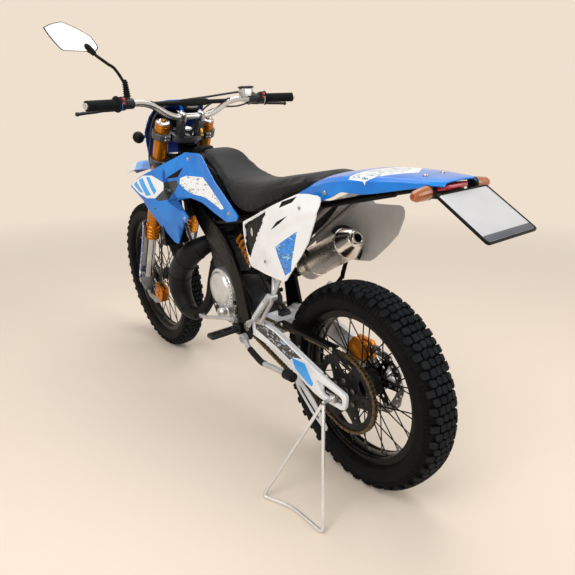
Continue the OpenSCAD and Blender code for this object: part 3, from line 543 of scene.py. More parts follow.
def wheel(name, node, body, at, bead, rim_w, hub_r, flange_r, flange_y, hub_y, bore, valve):
    spokes = 36
    half = rim_w / 2
    well = bead - 16
    rim = [
        (well + 3, -half + 1), (bead + 7, -half), (bead + 9, -half + 1.5), (bead + 8, -half + 4),
        (bead, -half + 5),
        (bead - 5, -half / 2), (bead - 5, half / 2), (bead, half - 5), (bead + 8, half - 4),
        (bead + 9, half - 1.5),
        (bead + 7, half), (well + 3, half - 1), (well + 1, half * 0.8), (well + 4, half * 0.55),
        (well, half / 3), (well - 1, 0),
        (well, -half / 3), (well + 4, -half * 0.55), (well + 1, -half * 0.8),
    ]
    parts = [numbered(moved(turned(rim, 128, ring=True), ACROSS), 0)]
    hub = [
        (bore, -hub_y), (hub_r * 0.7, -hub_y), (hub_r * 0.78, -hub_y + 3), (hub_r * 0.8, -flange_y - 7),
        (flange_r - 2, -flange_y - 4),
        (flange_r, -flange_y - 2), (flange_r, -flange_y + 1), (flange_r - 3, -flange_y + 3),
        (hub_r + 2, -flange_y + 9), (hub_r, -flange_y + 16),
        (hub_r, flange_y - 16), (hub_r + 2, flange_y - 9), (flange_r - 3, flange_y - 3),
        (flange_r, flange_y - 1), (flange_r, flange_y + 2),
        (flange_r - 2, flange_y + 4), (hub_r * 0.8, flange_y + 7), (hub_r * 0.78, hub_y - 3),
        (hub_r * 0.7, hub_y), (bore, hub_y),
    ]
    parts.append(numbered(moved(turned(hub, 64, ring=True), ACROSS), 1))
    wire = turned([(0, 0), (1.9, 0), (1.9, 1), (0, 1)], 7)
    wire.materials.append(spoke_steel)
    nut = turned([(0, 0), (3.2, 0), (3.4, 12), (2.2, 17), (0, 17)], 8)
    nut.materials.append(nipple_brass)
    wires, nuts = [], []
    for i in range(spokes):
        side = 1 if i % 2 == 0 else -1
        leads = 1 if (i // 2) % 2 == 0 else -1
        a = math.radians(i * 360 / spokes)
        b = a - leads * math.radians(58)
        root = Vector(
            ((flange_r - 4) * math.cos(b), side * (flange_y + 1) + leads * 4, (flange_r - 4) * math.sin(b))
        )
        tip = Vector(((bead - 15) * math.cos(a), side * half / 4 + leads * 1.5, (bead - 15) * math.sin(a)))
        aim = tip - root
        wires.append((root, aim.normalized(), (0, 1, 0), (1, 1, aim.length)))
        nuts.append((tip + aim.normalized() * 1, -aim.normalized(), (0, 1, 0), (1, 1, 1)))
    parts.append(numbered(set_items(wire, wires), 2))
    parts.append(numbered(set_items(nut, nuts), 3))
    # Valve stem and its cap
    a = math.radians(valve)
    foot = Vector(((well + 2) * math.cos(a), 0, (well + 2) * math.sin(a)))
    parts.append(
        numbered(
            moved(
                turned([(0, 0), (4, 0), (4, 14), (3, 15), (3, 24), (0, 24)], 12), heading(foot, foot * 0.5)
            ),
            2
        )
    )
    parts.append(
        numbered(
            moved(
                turned([(0, 0), (5.5, 0), (5.5, 14), (4.5, 18), (0, 18.5)], 12),
                heading(foot * 0.9, foot * 0.5)
            ),
            4
        )
    )
    return fit(
        name, joined(*parts), at, body, [rim_enamel, cast_hub, spoke_steel, nipple_brass, cap_plastic], node
    )


# Anodised valve cap
cap_plastic = metal("blue anodised cap", "#1f6fe0", "#0a4fc8", 0.3)
wheel("front_wheel_laced", "front_wheel", "front_wheel_set", FRONT_AXLE, 267, 50, 24, 34, 26, 62, 8.05, 200)
wheel("rear_wheel_laced", "rear_wheel", "rear_wheel_set", REAR_AXLE, 230, 62, 30, 46, 32, 76, 10.05, -38)

# Discs and sprocket ------------------------------------------------------------------------------
# Punched steel sheet: ground brake discs with scalloped edges and drilled rings, on dark carriers,
# and a blackened sprocket with pointed teeth and six windows.


def sheet_metal(outlines, thick, bevel=0.5, at=None):
    """Flat plate cut from [x, y] loops, the later ones being its holes, with broken edges."""
    curve = bpy.data.curves.new("outline", "CURVE")
    curve.dimensions = "2D"
    curve.fill_mode = "BOTH"
    curve.extrude = max(thick / 2 - bevel, 0.01)
    curve.bevel_depth = bevel
    curve.bevel_resolution = 1
    curve.offset = -bevel
    for loop in outlines:
        line = curve.splines.new("POLY")
        line.points.add(len(loop) - 1)
        for spot, (x, y) in zip(line.points, loop):
            spot.co = (x, y, 0, 1)
        line.use_cyclic_u = True
    holder = bpy.data.objects.new("plate", curve)
    scene.collection.objects.link(holder)
    mesh = plain(holder)
    bpy.data.objects.remove(holder)
    if at:
        mesh.transform(at)
    return mesh


def circle(x, y, r, sides=24):
    return [
        (x + r * math.cos(2 * math.pi * k / sides), y + r * math.sin(2 * math.pi * k / sides))
        for k in range(sides)
    ]


def polar(r, degrees):
    return (r * math.cos(math.radians(degrees)), r * math.sin(math.radians(degrees)))


# Ground by the pads: fine rings about the axle, read as streaks across the bike
disc_steel = metal("ground disc steel", "#a5a6a8", "#77787a", 0.28, (1.5, 30, 1.5), 0.25)
carrier = metal("black anodised carrier", "#232427", "#151618", 0.4)
sprocket_steel = metal("blackened sprocket steel", "#3a3b3e", "#1f2022", 0.42)


def disc(name, node, body, at, r, hub, y):
    edge = [polar(r - 2.2 + 2.2 * math.cos(math.radians(a * 12)), a) for a in range(0, 360, 3)]
    band = r * 0.74
    inner = [polar(band + 2 * math.cos(math.radians(a * 6)), a) for a in range(0, 360, 6)]
    holes = [circle(*polar(r * (0.92 if k % 2 else 0.82), k * 11.25), 3.6, 10) for k in range(32)]
    ring = numbered(sheet_metal([edge, inner] + holes, 4, 0.4), 0)
    arms = []
    for k in range(6):
        arms += [
            polar(band + 7, k * 60 - 7), polar(band + 7, k * 60 + 7), polar(band - 6, k * 60 + 9),
            polar(hub + 12, k * 60 + 24)
        ]
        arms += [polar(hub + 12, k * 60 + 36)]
    middle = numbered(
        sheet_metal(
            [arms, circle(0, 0, hub, 48)] + [
                circle(*polar((band + hub) / 2 + 2, k * 60), 6, 12) for k in range(6)
            ],
            5, 0.6
        ),
        1
    )
    pins = turned([(0, -3.5), (5, -3.5), (5.5, -2.5), (5.5, 2.5), (5, 3.5), (0, 3.5)], 16)
    pins.materials.append(disc_steel)
    rivets = set_items(pins, [((*polar(band, k * 60), 0), (0, 0, 1), (1, 0, 0), (1, 1, 1)) for k in range(6)])
    whole = joined(ring, middle, numbered(rivets, 0))
    return fit(name, whole, at @ T((0, y, 0)) @ ACROSS, body, [disc_steel, carrier], node)


disc("front_disc_ground", "front_disc", "front_wheel_set", FRONT_AXLE, 130, 20, 55)
disc("rear_disc_ground", "rear_disc", "rear_wheel_set", REAR_AXLE, 110, 25, -58)

teeth = 50
edge = []
for k in range(teeth):
    a = k * 360 / teeth
    edge += [
        polar(116.5, a - 2.2), polar(122.5, a - 0.7), polar(122.5, a + 0.7), polar(116.5, a + 2.2),
        polar(115.5, a + 3.6)
    ]
windows = []
for k in range(6):
    a = k * 60 + 30
    windows.append(
        [
            polar(96, a - 19), polar(98, a - 8), polar(98, a + 8), polar(96, a + 19), polar(84, a + 17),
            polar(64, a + 8), polar(58, a), polar(64, a - 8), polar(84, a - 17)
        ]
    )
plate = sheet_metal(
    [edge, circle(0, 0, 24.5, 48)] + windows + [circle(*polar(78, k * 60), 5, 14) for k in range(6)], 6, 0.6
)
bolt = turned([(0, 0), (8, 0), (8, 4), (6.5, 5.5), (3.5, 5.5), (3.2, 3), (0, 3)], 6)
bolt.materials.append(nipple_brass)
bolts = set_items(bolt, [((*polar(42, k * 60 + 30), 3), (0, 0, 1), (1, 0, 0), (1, 1, 1)) for k in range(6)])
ring = turned([(24.5, 2.8), (52, 2.8), (54, 1.5), (54, -14), (24.5, -14)], 64, ring=True)
fit(
    "rear_sprocket_cut", joined(numbered(plate, 0), numbered(bolts, 1), numbered(ring, 2)),
    REAR_AXLE @ T((0, 69, 0)) @ ACROSS, "rear_wheel_set", [sprocket_steel, nipple_brass, cast_hub],
    "rear_sprocket"
)

# Chain -------------------------------------------------------------------------------------------
# Roller chain of half-inch pitch: waisted side plates riveted over rollers, oiled, brown with dust
# between the gold-washed outer plates.

chain_steel = metal("oiled chain steel", "#8a7a5a", "#4a4034", 0.42, (2, 2, 2), 0.2, 12)
half_inch = 12.7
big, small = 121, 28
away = Vector((562, 84))
span = away.length
base = math.atan2(away.y, away.x)
dip = math.asin((big - small) / span)
up, down = base + math.pi / 2 - dip, base - math.pi / 2 + dip
# The loop as arcs and straight runs, walked at one pitch
path = [
    Vector((big * math.cos(a), big * math.sin(a)))
    for a in [up + (2 * math.pi - (up - down)) * k / 80 for k in range(81)]
]
path += [
    away + Vector((small * math.cos(a), small * math.sin(a)))
    for a in [down + (up - down) * k / 24 for k in range(25)]
]
path.append(path[0].copy())
total = sum((b - a).length for a, b in zip(path, path[1:]))
links = round(total / half_inch / 2) * 2
pitch = total / links
spots, travelled, k = [], 0.0, 0
for i in range(links):
    target = i * pitch
    while travelled + (path[k + 1] - path[k]).length < target:
        travelled += (path[k + 1] - path[k]).length
        k += 1
    spots.append(path[k] + (path[k + 1] - path[k]).normalized() * (target - travelled))
waist = [
    (-half_inch / 2 + 5.6 * math.cos(math.radians(a)), 5.6 * math.sin(math.radians(a)))
    for a in range(60, 301, 40)
]
waist = waist + [(0, -3.4)] + [(-x, y) for x, y in waist[::-1]] + [(0, 3.4)]
waist = sorted(set(waist), key=lambda p: math.atan2(p[1], p[0]))


def link(offset):
    sides = [sheet_metal([waist], 1.6, 0.3, T((0, 0, s * offset))) for s in (1, -1)]
    pins = [
        moved(
            turned([(0, -offset - 1.6), (2.6, -offset - 1.6), (2.6, offset + 1.6), (0, offset + 1.6)], 8),
            T((x, 0, 0))
        ) for x in (-half_inch / 2, half_inch / 2)
    ]
    rollers = [
        moved(turned([(3.2, -3.4), (4, -3.4), (4, 3.4), (3.2, 3.4)], 10, ring=True), T((x, 0, 0)))
        for x in (-half_inch / 2, half_inch / 2)
    ]
    whole = joined(*sides, *pins, *rollers)
    whole.materials.append(chain_steel)
    return whole


chain_parts = []
for odd, offset in [(0, 3.9), (1, 5.9)]:
    places = []
    for i in range(odd, links, 2):
        a, b = spots[i], spots[(i + 1) % links]
        way = (b - a).normalized()
        places.append((((a + b) / 2).to_3d(), (0, 0, 1), (way.x, way.y, 0), (1, 1, 1)))
    chain_parts.append(set_items(link(offset), places))
# Laid out in x and z about the axle, on the bike's left side
UPRIGHT = Matrix.Rotation(math.radians(90), 4, "X")
fit("chain_links", joined(*chain_parts), REAR_AXLE @ T((0, 69, 0)) @ UPRIGHT, "chassis", chain_steel, "chain")

# Radiator shrouds --------------------------------------------------------------------------------
# Injection-moulded plastic wings, blue through and through, bolted to the tank and the radiator,
# with a soft fold and a pointed fin. Printed film in white and black is stuck on them.


def along(table, x):
    """Value at x on the straight runs between [x, value] points, held level past both ends."""
    table = sorted(table)
    if x <= table[0][0]:
        return table[0][1]
    for (a, u), (b, v) in zip(table, table[1:]):
        if x <= b:
            return u + (v - u) * (x - a) / (b - a)
    return table[-1][1]


def step(low, high, value):
    t = min(1, max(0, (value - low) / (high - low)))
    return t * t * (3 - 2 * t)


def inside(point, loop):
    x, z = point
    hit = False
    for (ax, az), (bx, bz) in zip(loop, loop[1:] + loop[:1]):
        if (az > z) != (bz > z) and x < (bx - ax) * (z - az) / (bz - az) + ax:
            hit = not hit
    return hit


def stick_on(bm, loop, number, up=2):
    """Cuts a graphic's outline into a sheet, seen along y (or along z if up is 1), and numbers it."""
    spot = lambda co: (co.x, co[up])
    xs, zs = [p[0] for p in loop], [p[1] for p in loop]
    for a, b in zip(loop, loop[1:] + loop[:1]):
        near = []
        for face in bm.faces:
            fx = [v.co.x for v in face.verts]
            fz = [v.co[up] for v in face.verts]
            if max(fx) > min(xs) and min(fx) < max(xs) and max(fz) > min(zs) and min(fz) < max(zs):
                near.append(face)
        edge = Vector((b[0] - a[0], 0, b[1] - a[1])) if up == 2 else Vector((b[0] - a[0], b[1] - a[1], 0))
        side = edge.cross((0, 1, 0) if up == 2 else (0, 0, 1)).normalized()
        start = Vector((a[0], 0, a[1])) if up == 2 else Vector((a[0], a[1], 0))
        near = near + list({e for f in near for e in f.edges}) + list({v for f in near for v in f.verts})
        bmesh.ops.bisect_plane(bm, geom=near, plane_co=start, plane_no=side, dist=0.02)
    for face in bm.faces:
        if inside(spot(face.calc_center_median()), loop):
            face.material_index = number


def moulding(outline, shape, cell, graphics=()):
    """Thin panel cut to an [x, z] outline and bent so that y is shape(x, z)."""
    bm = bmesh.new()
    bm.faces.new([bm.verts.new((x, 0, z)) for x, z in outline])
    bmesh.ops.triangulate(bm, faces=bm.faces)
    for axis, normal in ((0, (1, 0, 0)), (2, (0, 0, 1))):
        values = [p[axis // 2] for p in outline]
        at = min(values) + cell * 0.5
        while at < max(values):
            bmesh.ops.bisect_plane(
                bm, geom=bm.verts[:] + bm.edges[:] + bm.faces[:], plane_co=(at, 0, at), plane_no=normal,
                dist=0.01
            )
            at += cell
    for number, loop in graphics:
        stick_on(bm, loop, number)
    bmesh.ops.triangulate(bm, faces=bm.faces)
    bmesh.ops.dissolve_degenerate(bm, dist=0.4, edges=bm.edges)
    bmesh.ops.triangulate(bm, faces=bm.faces)
    for v in bm.verts:
        v.co.y = shape(v.co.x, v.co.z)
    mesh = bpy.data.meshes.new("moulding")
    bm.to_mesh(mesh)
    bm.free()
    return mesh


def thickened(mesh, thick, inner=0):
    """A moulding with its wall: the sheet again, further in, and the edge between the two."""
    bm = bmesh.new()
    bm.from_mesh(mesh)
    made = bmesh.ops.extrude_face_region(bm, geom=bm.faces[:], use_keep_orig=True)
    for part in made["geom"]:
        if isinstance(part, bmesh.types.BMVert):
            part.co.y -= thick
        elif isinstance(part, bmesh.types.BMFace):
            part.material_index += inner
    bmesh.ops.recalc_face_normals(bm, faces=bm.faces)
    bm.to_mesh(mesh)
    bm.free()
    return mesh


def flipped(mesh):
    """The right-hand twin of a left-hand mesh."""
    twin = mesh.copy()
    twin.transform(Matrix.Scale(-1, 4, (0, 1, 0)))
    twin.flip_normals()
    return twin


def evened(piece):
    """Each corner takes its shade from the large faces round it, not from slivers at a cut."""
    even = piece.modifiers.new("even", "WEIGHTED_NORMAL")
    even.weight = 90
    even.keep_sharp = True
    return piece


def walled(piece, thick, inner=0):
    """Gives a moulding its wall, inwards from its outer face."""
    bm = bmesh.new()
    bm.from_mesh(piece.data)
    middle = sum(
        (f.calc_center_median() * f.calc_area() for f in bm.faces), Vector()
    ) / sum(f.calc_area() for f in bm.faces)
    facing = sum(
        f.normal.dot(f.calc_center_median() - Vector((middle.x, CENTRE_Y, middle.z))) * f.calc_area()
        for f in bm.faces
    )
    if facing < 0:
        bmesh.ops.reverse_faces(bm, faces=bm.faces)
    bm.to_mesh(piece.data)
    bm.free()
    wall = piece.modifiers.new("wall", "SOLIDIFY")
    wall.thickness = thick / 1000
    wall.offset = -1
    wall.use_even_offset = False
    wall.material_offset = inner
    # Each corner takes its shade from the large faces round it, not from slivers at a cut
    even = piece.modifiers.new("even", "WEIGHTED_NORMAL")
    even.keep_sharp = True
    return piece


CENTRE_Y = (BIKE @ Vector((600, 0, 700))).y


def plastic(name, colour, deeper, roughness, coat=0.0, grain_mm=0.8, depth=0.1, shine=0.5):
    """Moulded plastic: even colour with faint flow marks 90 mm long and a fine skin."""
    finish, tree, skin, place = bare(name)
    flow = add(tree, "ShaderNodeTexNoise", {"Vector": place, "Scale": 11.0, "Detail": 3.0})
    fac = add(tree, "ShaderNodeMapRange", {"Value": flow.outputs[0], "From Min": 0.35, "From Max": 0.65})
    shade = add(
        tree, "ShaderNodeMix", {0: fac.outputs[0], 6: linear(deeper), 7: linear(colour)}, data_type="RGBA"
    )
    scuff = add(tree, "ShaderNodeTexNoise", {"Vector": place, "Scale": 60.0, "Detail": 6.0, "Roughness": 0.7})
    rough = add(
        tree, "ShaderNodeMapRange",
        {
            "Value": scuff.outputs[0], "From Min": 0.3, "From Max": 0.7, "To Min": roughness * 0.8,
            "To Max": roughness * 1.3
        }
    )
    grain = add(tree, "ShaderNodeTexNoise", {"Vector": place, "Scale": 1000 / grain_mm, "Detail": 2.0})
    dents = add(tree, "ShaderNodeBump", {"Height": grain.outputs[0], "Strength": depth, "Distance": 0.0004})
    wired(tree, skin, {
        "Base Color": shade.outputs[2],
        "Roughness": rough.outputs[0],
        "Normal": dents.outputs[0],
        "Coat Weight": coat,
        "Coat Roughness": 0.08,
        "Specular IOR Level": shine,
    })
    return finish


def printed(name, ground, specks, amount, scale_mm, angle=0.0, long=1.0):
    """Printed vinyl film: a ground colour with torn flecks in one or two more colours."""
    finish, tree, skin, place = bare(name)
    turn = add(
        tree, "ShaderNodeMapping",
        {
            "Vector": place, "Rotation": (0, angle, 0),
            "Scale": (1000 / scale_mm / long, 1000 / scale_mm, 1000 / scale_mm)
        }
    )
    torn = add(
        tree, "ShaderNodeTexNoise",
        {"Vector": turn.outputs[0], "Scale": 1.0, "Detail": 4.0, "Roughness": 0.75}
    )
    shade = add(tree, "ShaderNodeValToRGB", {"Fac": torn.outputs[0]})
    ramp = shade.color_ramp
    ramp.interpolation = "CONSTANT"
    ramp.elements[0].color = linear(ground)
    ramp.elements[1].position = 0.5 + amount
    ramp.elements[1].color = linear(specks[0])
    for k, colour in enumerate(specks[1:]):
        extra = ramp.elements.new(0.5 - amount - 0.03 * k) if k else ramp.elements.new(0.5 + amount + 0.05)
        extra.color = linear(colour)
    wired(tree, skin, {
        "Base Color": shade.outputs[0],
        "Roughness": 0.25,
        "Coat Weight": 0.3,
    })
    return finish


# Polypropylene, blue all through, polished mould: a soft broad gloss
blue_shell = plastic("moulded blue polypropylene", "#0082e0", "#006fcc", 0.19, 0.3, shine=0.3)
white_shell = plastic("moulded white polypropylene", "#f1f3f5", "#e6e9ec", 0.32, 0.3)
black_shell = plastic("moulded black polypropylene", "#0c0d0e", "#08090a", 0.4, 0.0, 1.2, 0.35, 0.14)
white_film = printed("white printed film", "#f3f6f8", ["#dfe6ec", "#bcc8d2"], 0.13, 9, 0.5, 2.5)
torn_film = printed("white film with torn black print", "#f1f4f6", ["#16181b", "#9aa4ad"], 0.075, 8, 0.9, 3.0)
rust_film = printed("black film with cyan spatter", "#17130f", ["#3ac3ea", "#0f4fa5"], 0.12, 5)
cyan_film = printed("cyan printed film", "#2ba8ff", ["#188cf2"], 0.12, 8)
blue_film = printed("blue film with black shards", "#1088ee", ["#0c0f14", "#7cc4f6"], 0.02, 11, 1.0, 2.4)

shroud_shape = [
    (400, 124), (480, 125.5), (560, 128), (630, 135), (700, 146), (770, 161), (840, 177), (900, 190),
    (960, 202), (1075, 212)
]


def shroud_face(x, z):
    y = along(shroud_shape, x) - 1
    y -= 0.22 * max(0, z - 880) + 0.16 * max(0, 760 - z) * step(700, 800, x)
    # The strap along the seat stands proud, from the bolt down to the rear corner
    strap = along([(420, 782), (500, 838), (560, 884), (628, 930), (670, 985)], x)
    y += 3.0 * step(-26, -16, z - strap)
    # Long fold from the nose to the waist
    fold = along([(480, 772), (620, 812), (760, 838), (900, 838), (1070, 836)], x)
    y -= 0.08 * max(0, fold - z) * step(560, 700, x) + 0.05 * max(0, z - fold)
    # Dished round its bolts
    for bx, bz in ((720, 940), (489, 781)):
        y -= 4 * (1 - step(9, 18, math.hypot(x - bx, z - bz)))
    return y


shroud_cut = [
    (748, 956), (735, 962), (660, 960), (640, 952), (625, 938), (548, 874), (484, 826), (424, 784),
    (424, 777), (438, 766), (497, 754),
    (566, 775), (634, 803), (697, 814), (763, 812), (822, 795), (830, 787), (740, 748), (736, 741),
    (746, 726), (812, 702), (852, 626),
    (858, 624), (876, 630), (935, 702), (990, 782), (1066, 828), (1066, 832), (989, 868), (943, 884),
    (845, 920), (780, 944),
]
shroud_marks = [
        (
            1,
            [
                (1058, 833), (1050, 842), (960, 876), (903, 879), (839, 858), (838, 834), (903, 797),
                (956, 793), (1010, 806)
            ]
        ),
        (2, [(833, 858), (765, 870), (757, 855), (776, 833), (830, 797), (887, 787), (905, 794), (843, 831)]),
        (
            3,
            [
                (743, 878), (713, 887), (622, 887), (597, 870), (507, 797), (525, 791), (612, 822),
                (691, 829), (729, 845), (749, 860)
            ]
        ),
        (5, [(733, 914), (756, 880), (826, 871)]),
        (4, [(1040, 838), (1014, 852), (975, 812), (1000, 812)]),
        (4, [(996, 858), (962, 868), (925, 806), (958, 802)]),
        (4, [(940, 872), (918, 873), (886, 826), (905, 808)]),
]
shroud = thickened(moulding(shroud_cut, shroud_face, 11, shroud_marks), 3.5)
# The right one is pressed lower and leans in over the tank
lowered = lambda z: z - 0.62 * max(0, z - 850)
leaning = lambda x, z: shroud_face(x, z) - 0.25 * max(0, z - 862)
right_shroud = thickened(moulding(shroud_cut, leaning, 11, shroud_marks), 3.5)
for v in right_shroud.vertices:
    v.co.z = lowered(v.co.z)
shroud_finishes = [blue_shell, white_film, rust_film, torn_film, cyan_film, black_shell]
evened(fit("shroud_right", flipped(right_shroud), BIKE, "chassis", shroud_finishes, "radiator_shrouds"))
evened(fit("shroud_left", shroud, BIKE, "chassis", shroud_finishes, "radiator_shrouds"))

# Side panels -------------------------------------------------------------------------------------
# White number-plate panels below the seat, with a black inset, two slots painted in as dark strips of shade,
# and a printed patch.
# The right one bulges outwards round the silencer, and its inside is plain grey.

grey_inside = plastic("grey inside of the panel", "#e4e2de", "#d6d4d0", 0.55)
chrome_badge = metal("chrome stud", "#e8e9ea", "#b5b7b9", 0.12)
lens_line = [(26, 845), (82, 829), (193, 777), (240, 735), (288, 693), (340, 650), (376, 628)]
inset = [(392, 762), (240, 824), (266, 796), (350, 690), (384, 655), (396, 700)]


def panel_face(table, inwards):
    def face(x, z):
        y = along(table, x) - 0.16 * max(0, z - 845) - inwards * max(0, 700 - z)
        y -= 3.2 * step(0, 7, along(lens_line, x) - z)
        if inside((x, z), inset):
            y -= 5
        return y

    return face


panel_cut = [
    (392, 772), (328, 796), (200, 846), (93, 886), (60, 889), (20, 888), (9, 884), (6, 876), (9, 864),
    (17, 847), (36, 806), (56, 763), (86, 723), (122, 682),
    (152, 650), (168, 634), (182, 627), (290, 624), (372, 626), (388, 636), (398, 690), (403, 740),
    (401, 766),
]
right_cut = [
    (392, 772), (328, 796), (200, 846), (158, 862), (140, 856), (131, 840), (124, 824), (112, 816), (60, 819),
    (10, 823), (-3, 820), (-10, 808), (-9, 790), (15, 738), (62, 692), (112, 648),
    (132, 636), (184, 628), (290, 624), (372, 626), (388, 636), (398, 690), (403, 740), (401, 766),
]
panel_inset_print_and_slot_shade = [
    (1, inset),
    # These two black strips are painted shade, standing for the panel's slots
    (1, [(168, 842), (156, 860), (94, 880), (112, 863)]),
    (1, [(222, 772), (186, 802), (130, 826), (170, 800)]),
    (2, [(207, 727), (98, 788), (138, 668), (171, 648)]),
]
left_panel = thickened(
    moulding(
        panel_cut, panel_face([(-20, 136), (80, 143), (150, 146), (220, 142), (300, 134), (400, 122)], 0.10),
        9, panel_inset_print_and_slot_shade
    ),
    3, 3
)
right_panel = thickened(
    moulding(
        right_cut, panel_face([(-20, 163), (60, 167), (150, 168), (300, 166), (400, 160)], 0.03), 9,
        panel_inset_print_and_slot_shade
    ),
    3, 3
)
panel_finishes = [white_shell, black_shell, blue_film, grey_inside, grey_inside, grey_inside]
evened(fit("side_panel_left", left_panel, BIKE, "chassis", panel_finishes, "side_panels"))
evened(fit("side_panel_right", flipped(right_panel), BIKE, "chassis", panel_finishes, "side_panels"))
stud = turned([(0, 0), (7, 0), (7, 1), (5, 3), (0, 3.5)], 32)
stud.transform(Matrix.Diagonal((1, 2.0, 1, 1)))
fit("panel_stud", moved(stud, heading((352, 121.5, 744), (352, 130, 744))), BIKE, "chassis", chrome_badge)

# Screws of the bodywork: dished heads in their recesses
screw_steel = metal("zinc plated screw", "#c9cacb", "#8f9193", 0.3)
head = turned([(0, 2.2), (2.2, 2.2), (2.6, 1.2), (3.2, 2.6), (6.5, 2.2), (7.5, 0.8), (7.5, 0), (0, 0)], 20)
head.materials.append(screw_steel)
screws = []
for side in (1, -1):
    for x, z in ((720, 940), (489, 781), (758, 735)):
        y, low = (shroud_face(x, z), z) if side > 0 else (leaning(x, z), lowered(z))
        screws.append(((x, side * (y + 0.2), low), (0, side, 0), (1, 0, 0), (1, 1, 1)))
    for x, z in ((81, 852 if side > 0 else 798), (267, 671)):
        y = 142 if side > 0 else -165
        screws.append(((x, y - side * (4.5 if z < 700 else 0), z), (0, side, 0), (1, 0, 0), (0.7, 0.7, 1)))
fit("bodywork_screws", set_items(head, screws), BIKE, "chassis", screw_steel)

# Rear fender -------------------------------------------------------------------------------------
# One blue moulding over the rear wheel: a flat-topped tail with folded sides, its two cheeks running
# forward below the seat. White printed film lies across its top, and six screws hold it to the rails.

ribs = [  # x, half width, top at the middle, top at the side, lowest edge
    (130, 107, 888, 885, 878), (100, 109, 900, 896, 868), (75, 110, 915, 906, 862), (50, 112, 928, 912, 862),
    (20, 113, 935, 920, 874),
    (-15, 113, 940, 927, 886), (-45, 112, 943, 931, 900), (-80, 108, 945, 933, 900),
    (-120, 101, 946.5, 935, 901), (-165, 92, 947, 937, 908),
    (-210, 82, 946, 938, 916), (-250, 74, 944, 938, 923), (-290, 64, 942, 937, 930),
    (-308, 54, 939, 936, 932),
]
columns = [
    -1, -0.97, -0.94, -0.9, -0.84, -0.76, -0.68, -0.6, -0.45, -0.3, -0.15, 0, 0.15, 0.3, 0.45, 0.6, 0.68,
    0.76, 0.84, 0.9, 0.94, 0.97, 1
]


def tail_point(rib, t):
    x, w, middle, side, low = rib
    s, sign = abs(t), (1 if t >= 0 else -1)
    if s <= 0.6:
        return (x, sign * w * 0.86 * s / 0.6, middle - (middle - side) * 0.55 * (s / 0.6) ** 3)
    if s <= 0.9:
        u = (s - 0.6) / 0.3
        return (
            x, sign * w * (0.86 + 0.12 * u),
            middle - (middle - side) * 0.55 - u * ((middle - side) * 0.45 + 5)
        )
    u = (s - 0.9) / 0.1
    return (x, sign * w * (0.98 + 0.02 * u), side - 5 - u * (side - 5 - low))


def between(stations, count):
    """Stations filled in smoothly, as a spline drawn through each value."""
    out = []
    for k in range(len(stations) - 1):
        p = [Vector(stations[min(max(i, 0), len(stations) - 1)]) for i in range(k - 1, k + 3)]
        for j in range(count):
            t = j / count
            out.append(
                0.5 * (
                    2 * p[1] + (p[2] - p[0]) * t + (
                        2 * p[0] - 5 * p[1] + 4 * p[2] - p[3]
                    ) * t * t + (3 * p[1] - p[0] - 3 * p[2] + p[3]) * t**3
                )
            )
    out.append(Vector(stations[-1]))
    return out


def lofted(stations, marks, point):
    verts = [point(s, t) for s in stations for t in marks]
    n = len(marks)
    faces = [
        (i * n + j, i * n + j + 1, (i + 1) * n + j + 1, (i + 1) * n + j)
        for i in range(len(stations) - 1) for j in range(n - 1)
    ]
    return from_faces(verts, faces)


def stuck(mesh, graphics, up=1, keep=None):
    bm = bmesh.new()
    bm.from_mesh(mesh)
    if keep:
        bmesh.ops.delete(bm, geom=[f for f in bm.faces if not keep(f.calc_center_median())], context="FACES")
    for number, loop in graphics:
        stick_on(bm, loop, number, up)
    bm.to_mesh(mesh)
    bm.free()
    return mesh


tail = lofted(between(ribs, 3), columns, tail_point)
tail = stuck(
    tail,
    [
        (1, [(-66, 103), (-60, 20), (-90, -98), (-150, -60), (-200, 10), (-165, 60), (-118, 100)]),
        (2, [(-70, 100), (-68, 30), (-96, -70), (-146, -30), (-176, 30), (-150, 76), (-120, 98)])
    ],
    1,
    lambda c: c.x < 55 or abs(c.y) > 93,
)
tail_film = printed("white film with grey marks", "#dfe9f0", ["#1d2024", "#6fa6d8"], 0.055, 8, 0.2, 2.5)
tail_piece = fit(
    "rear_fender_shell", tail, BIKE, "chassis",
    [blue_shell, white_film, tail_film, black_shell, black_shell, black_shell], "rear_fender"
)
# Its inner faces take the black finish, as painted shade under the blue fender
walled(tail_piece, 3, 3)
tail_screws = [
    ((x, y, z), aim, (1, 0, 0), (0.9, 0.9, 1))
    for x, y, z, aim in [
        (-128, 70, 940.5, (0.1, 0.2, 1)), (-128, -70, 940.5, (0.1, -0.2, 1)), (-236, 30, 944.6, (0, 0, 1)),
        (-236, -30, 944.6, (0, 0, 1)), (12, 113.4, 893, (0, 1, 0)), (12, -113.4, 893, (0, -1, 0))
    ]
]
fit("tail_screws", set_items(head, tail_screws), BIKE, "chassis", screw_steel)

# Rear lights and plate ---------------------------------------------------------------------------
# A clear red acrylic lens over the tail lamp, amber indicator lenses on black rubber stalks, and a
# blank grey plate, with a darker band, in its black holder on a bent bracket.


def acrylic(name, colour, deeper):
    """Moulded clear acrylic lens: saturated, glossy, with lens flutes 4 mm apart behind it."""
    finish, tree, skin, place = bare(name)
    flutes = add(
        tree, "ShaderNodeTexWave", {"Vector": place, "Scale": 80.0, "Distortion": 0.3}, bands_direction="Y"
    )
    shade = add(
        tree, "ShaderNodeMix", {0: flutes.outputs["Fac"], 6: linear(deeper), 7: linear(colour)},
        data_type="RGBA"
    )
    ridge = add(
        tree, "ShaderNodeBump", {"Height": flutes.outputs["Fac"], "Strength": 0.35, "Distance": 0.0008}
    )
    wired(tree, skin, {
        "Base Color": shade.outputs[2],
        "Normal": ridge.outputs[0],
        "Roughness": 0.12,
        "IOR": 1.49,
        "Coat Weight": 0.8,
    })
    return finish


red_lens = acrylic("red acrylic lens", "#cf2a44", "#9c1830")
amber_lens = acrylic("amber acrylic lens", "#bd5c10", "#743408")


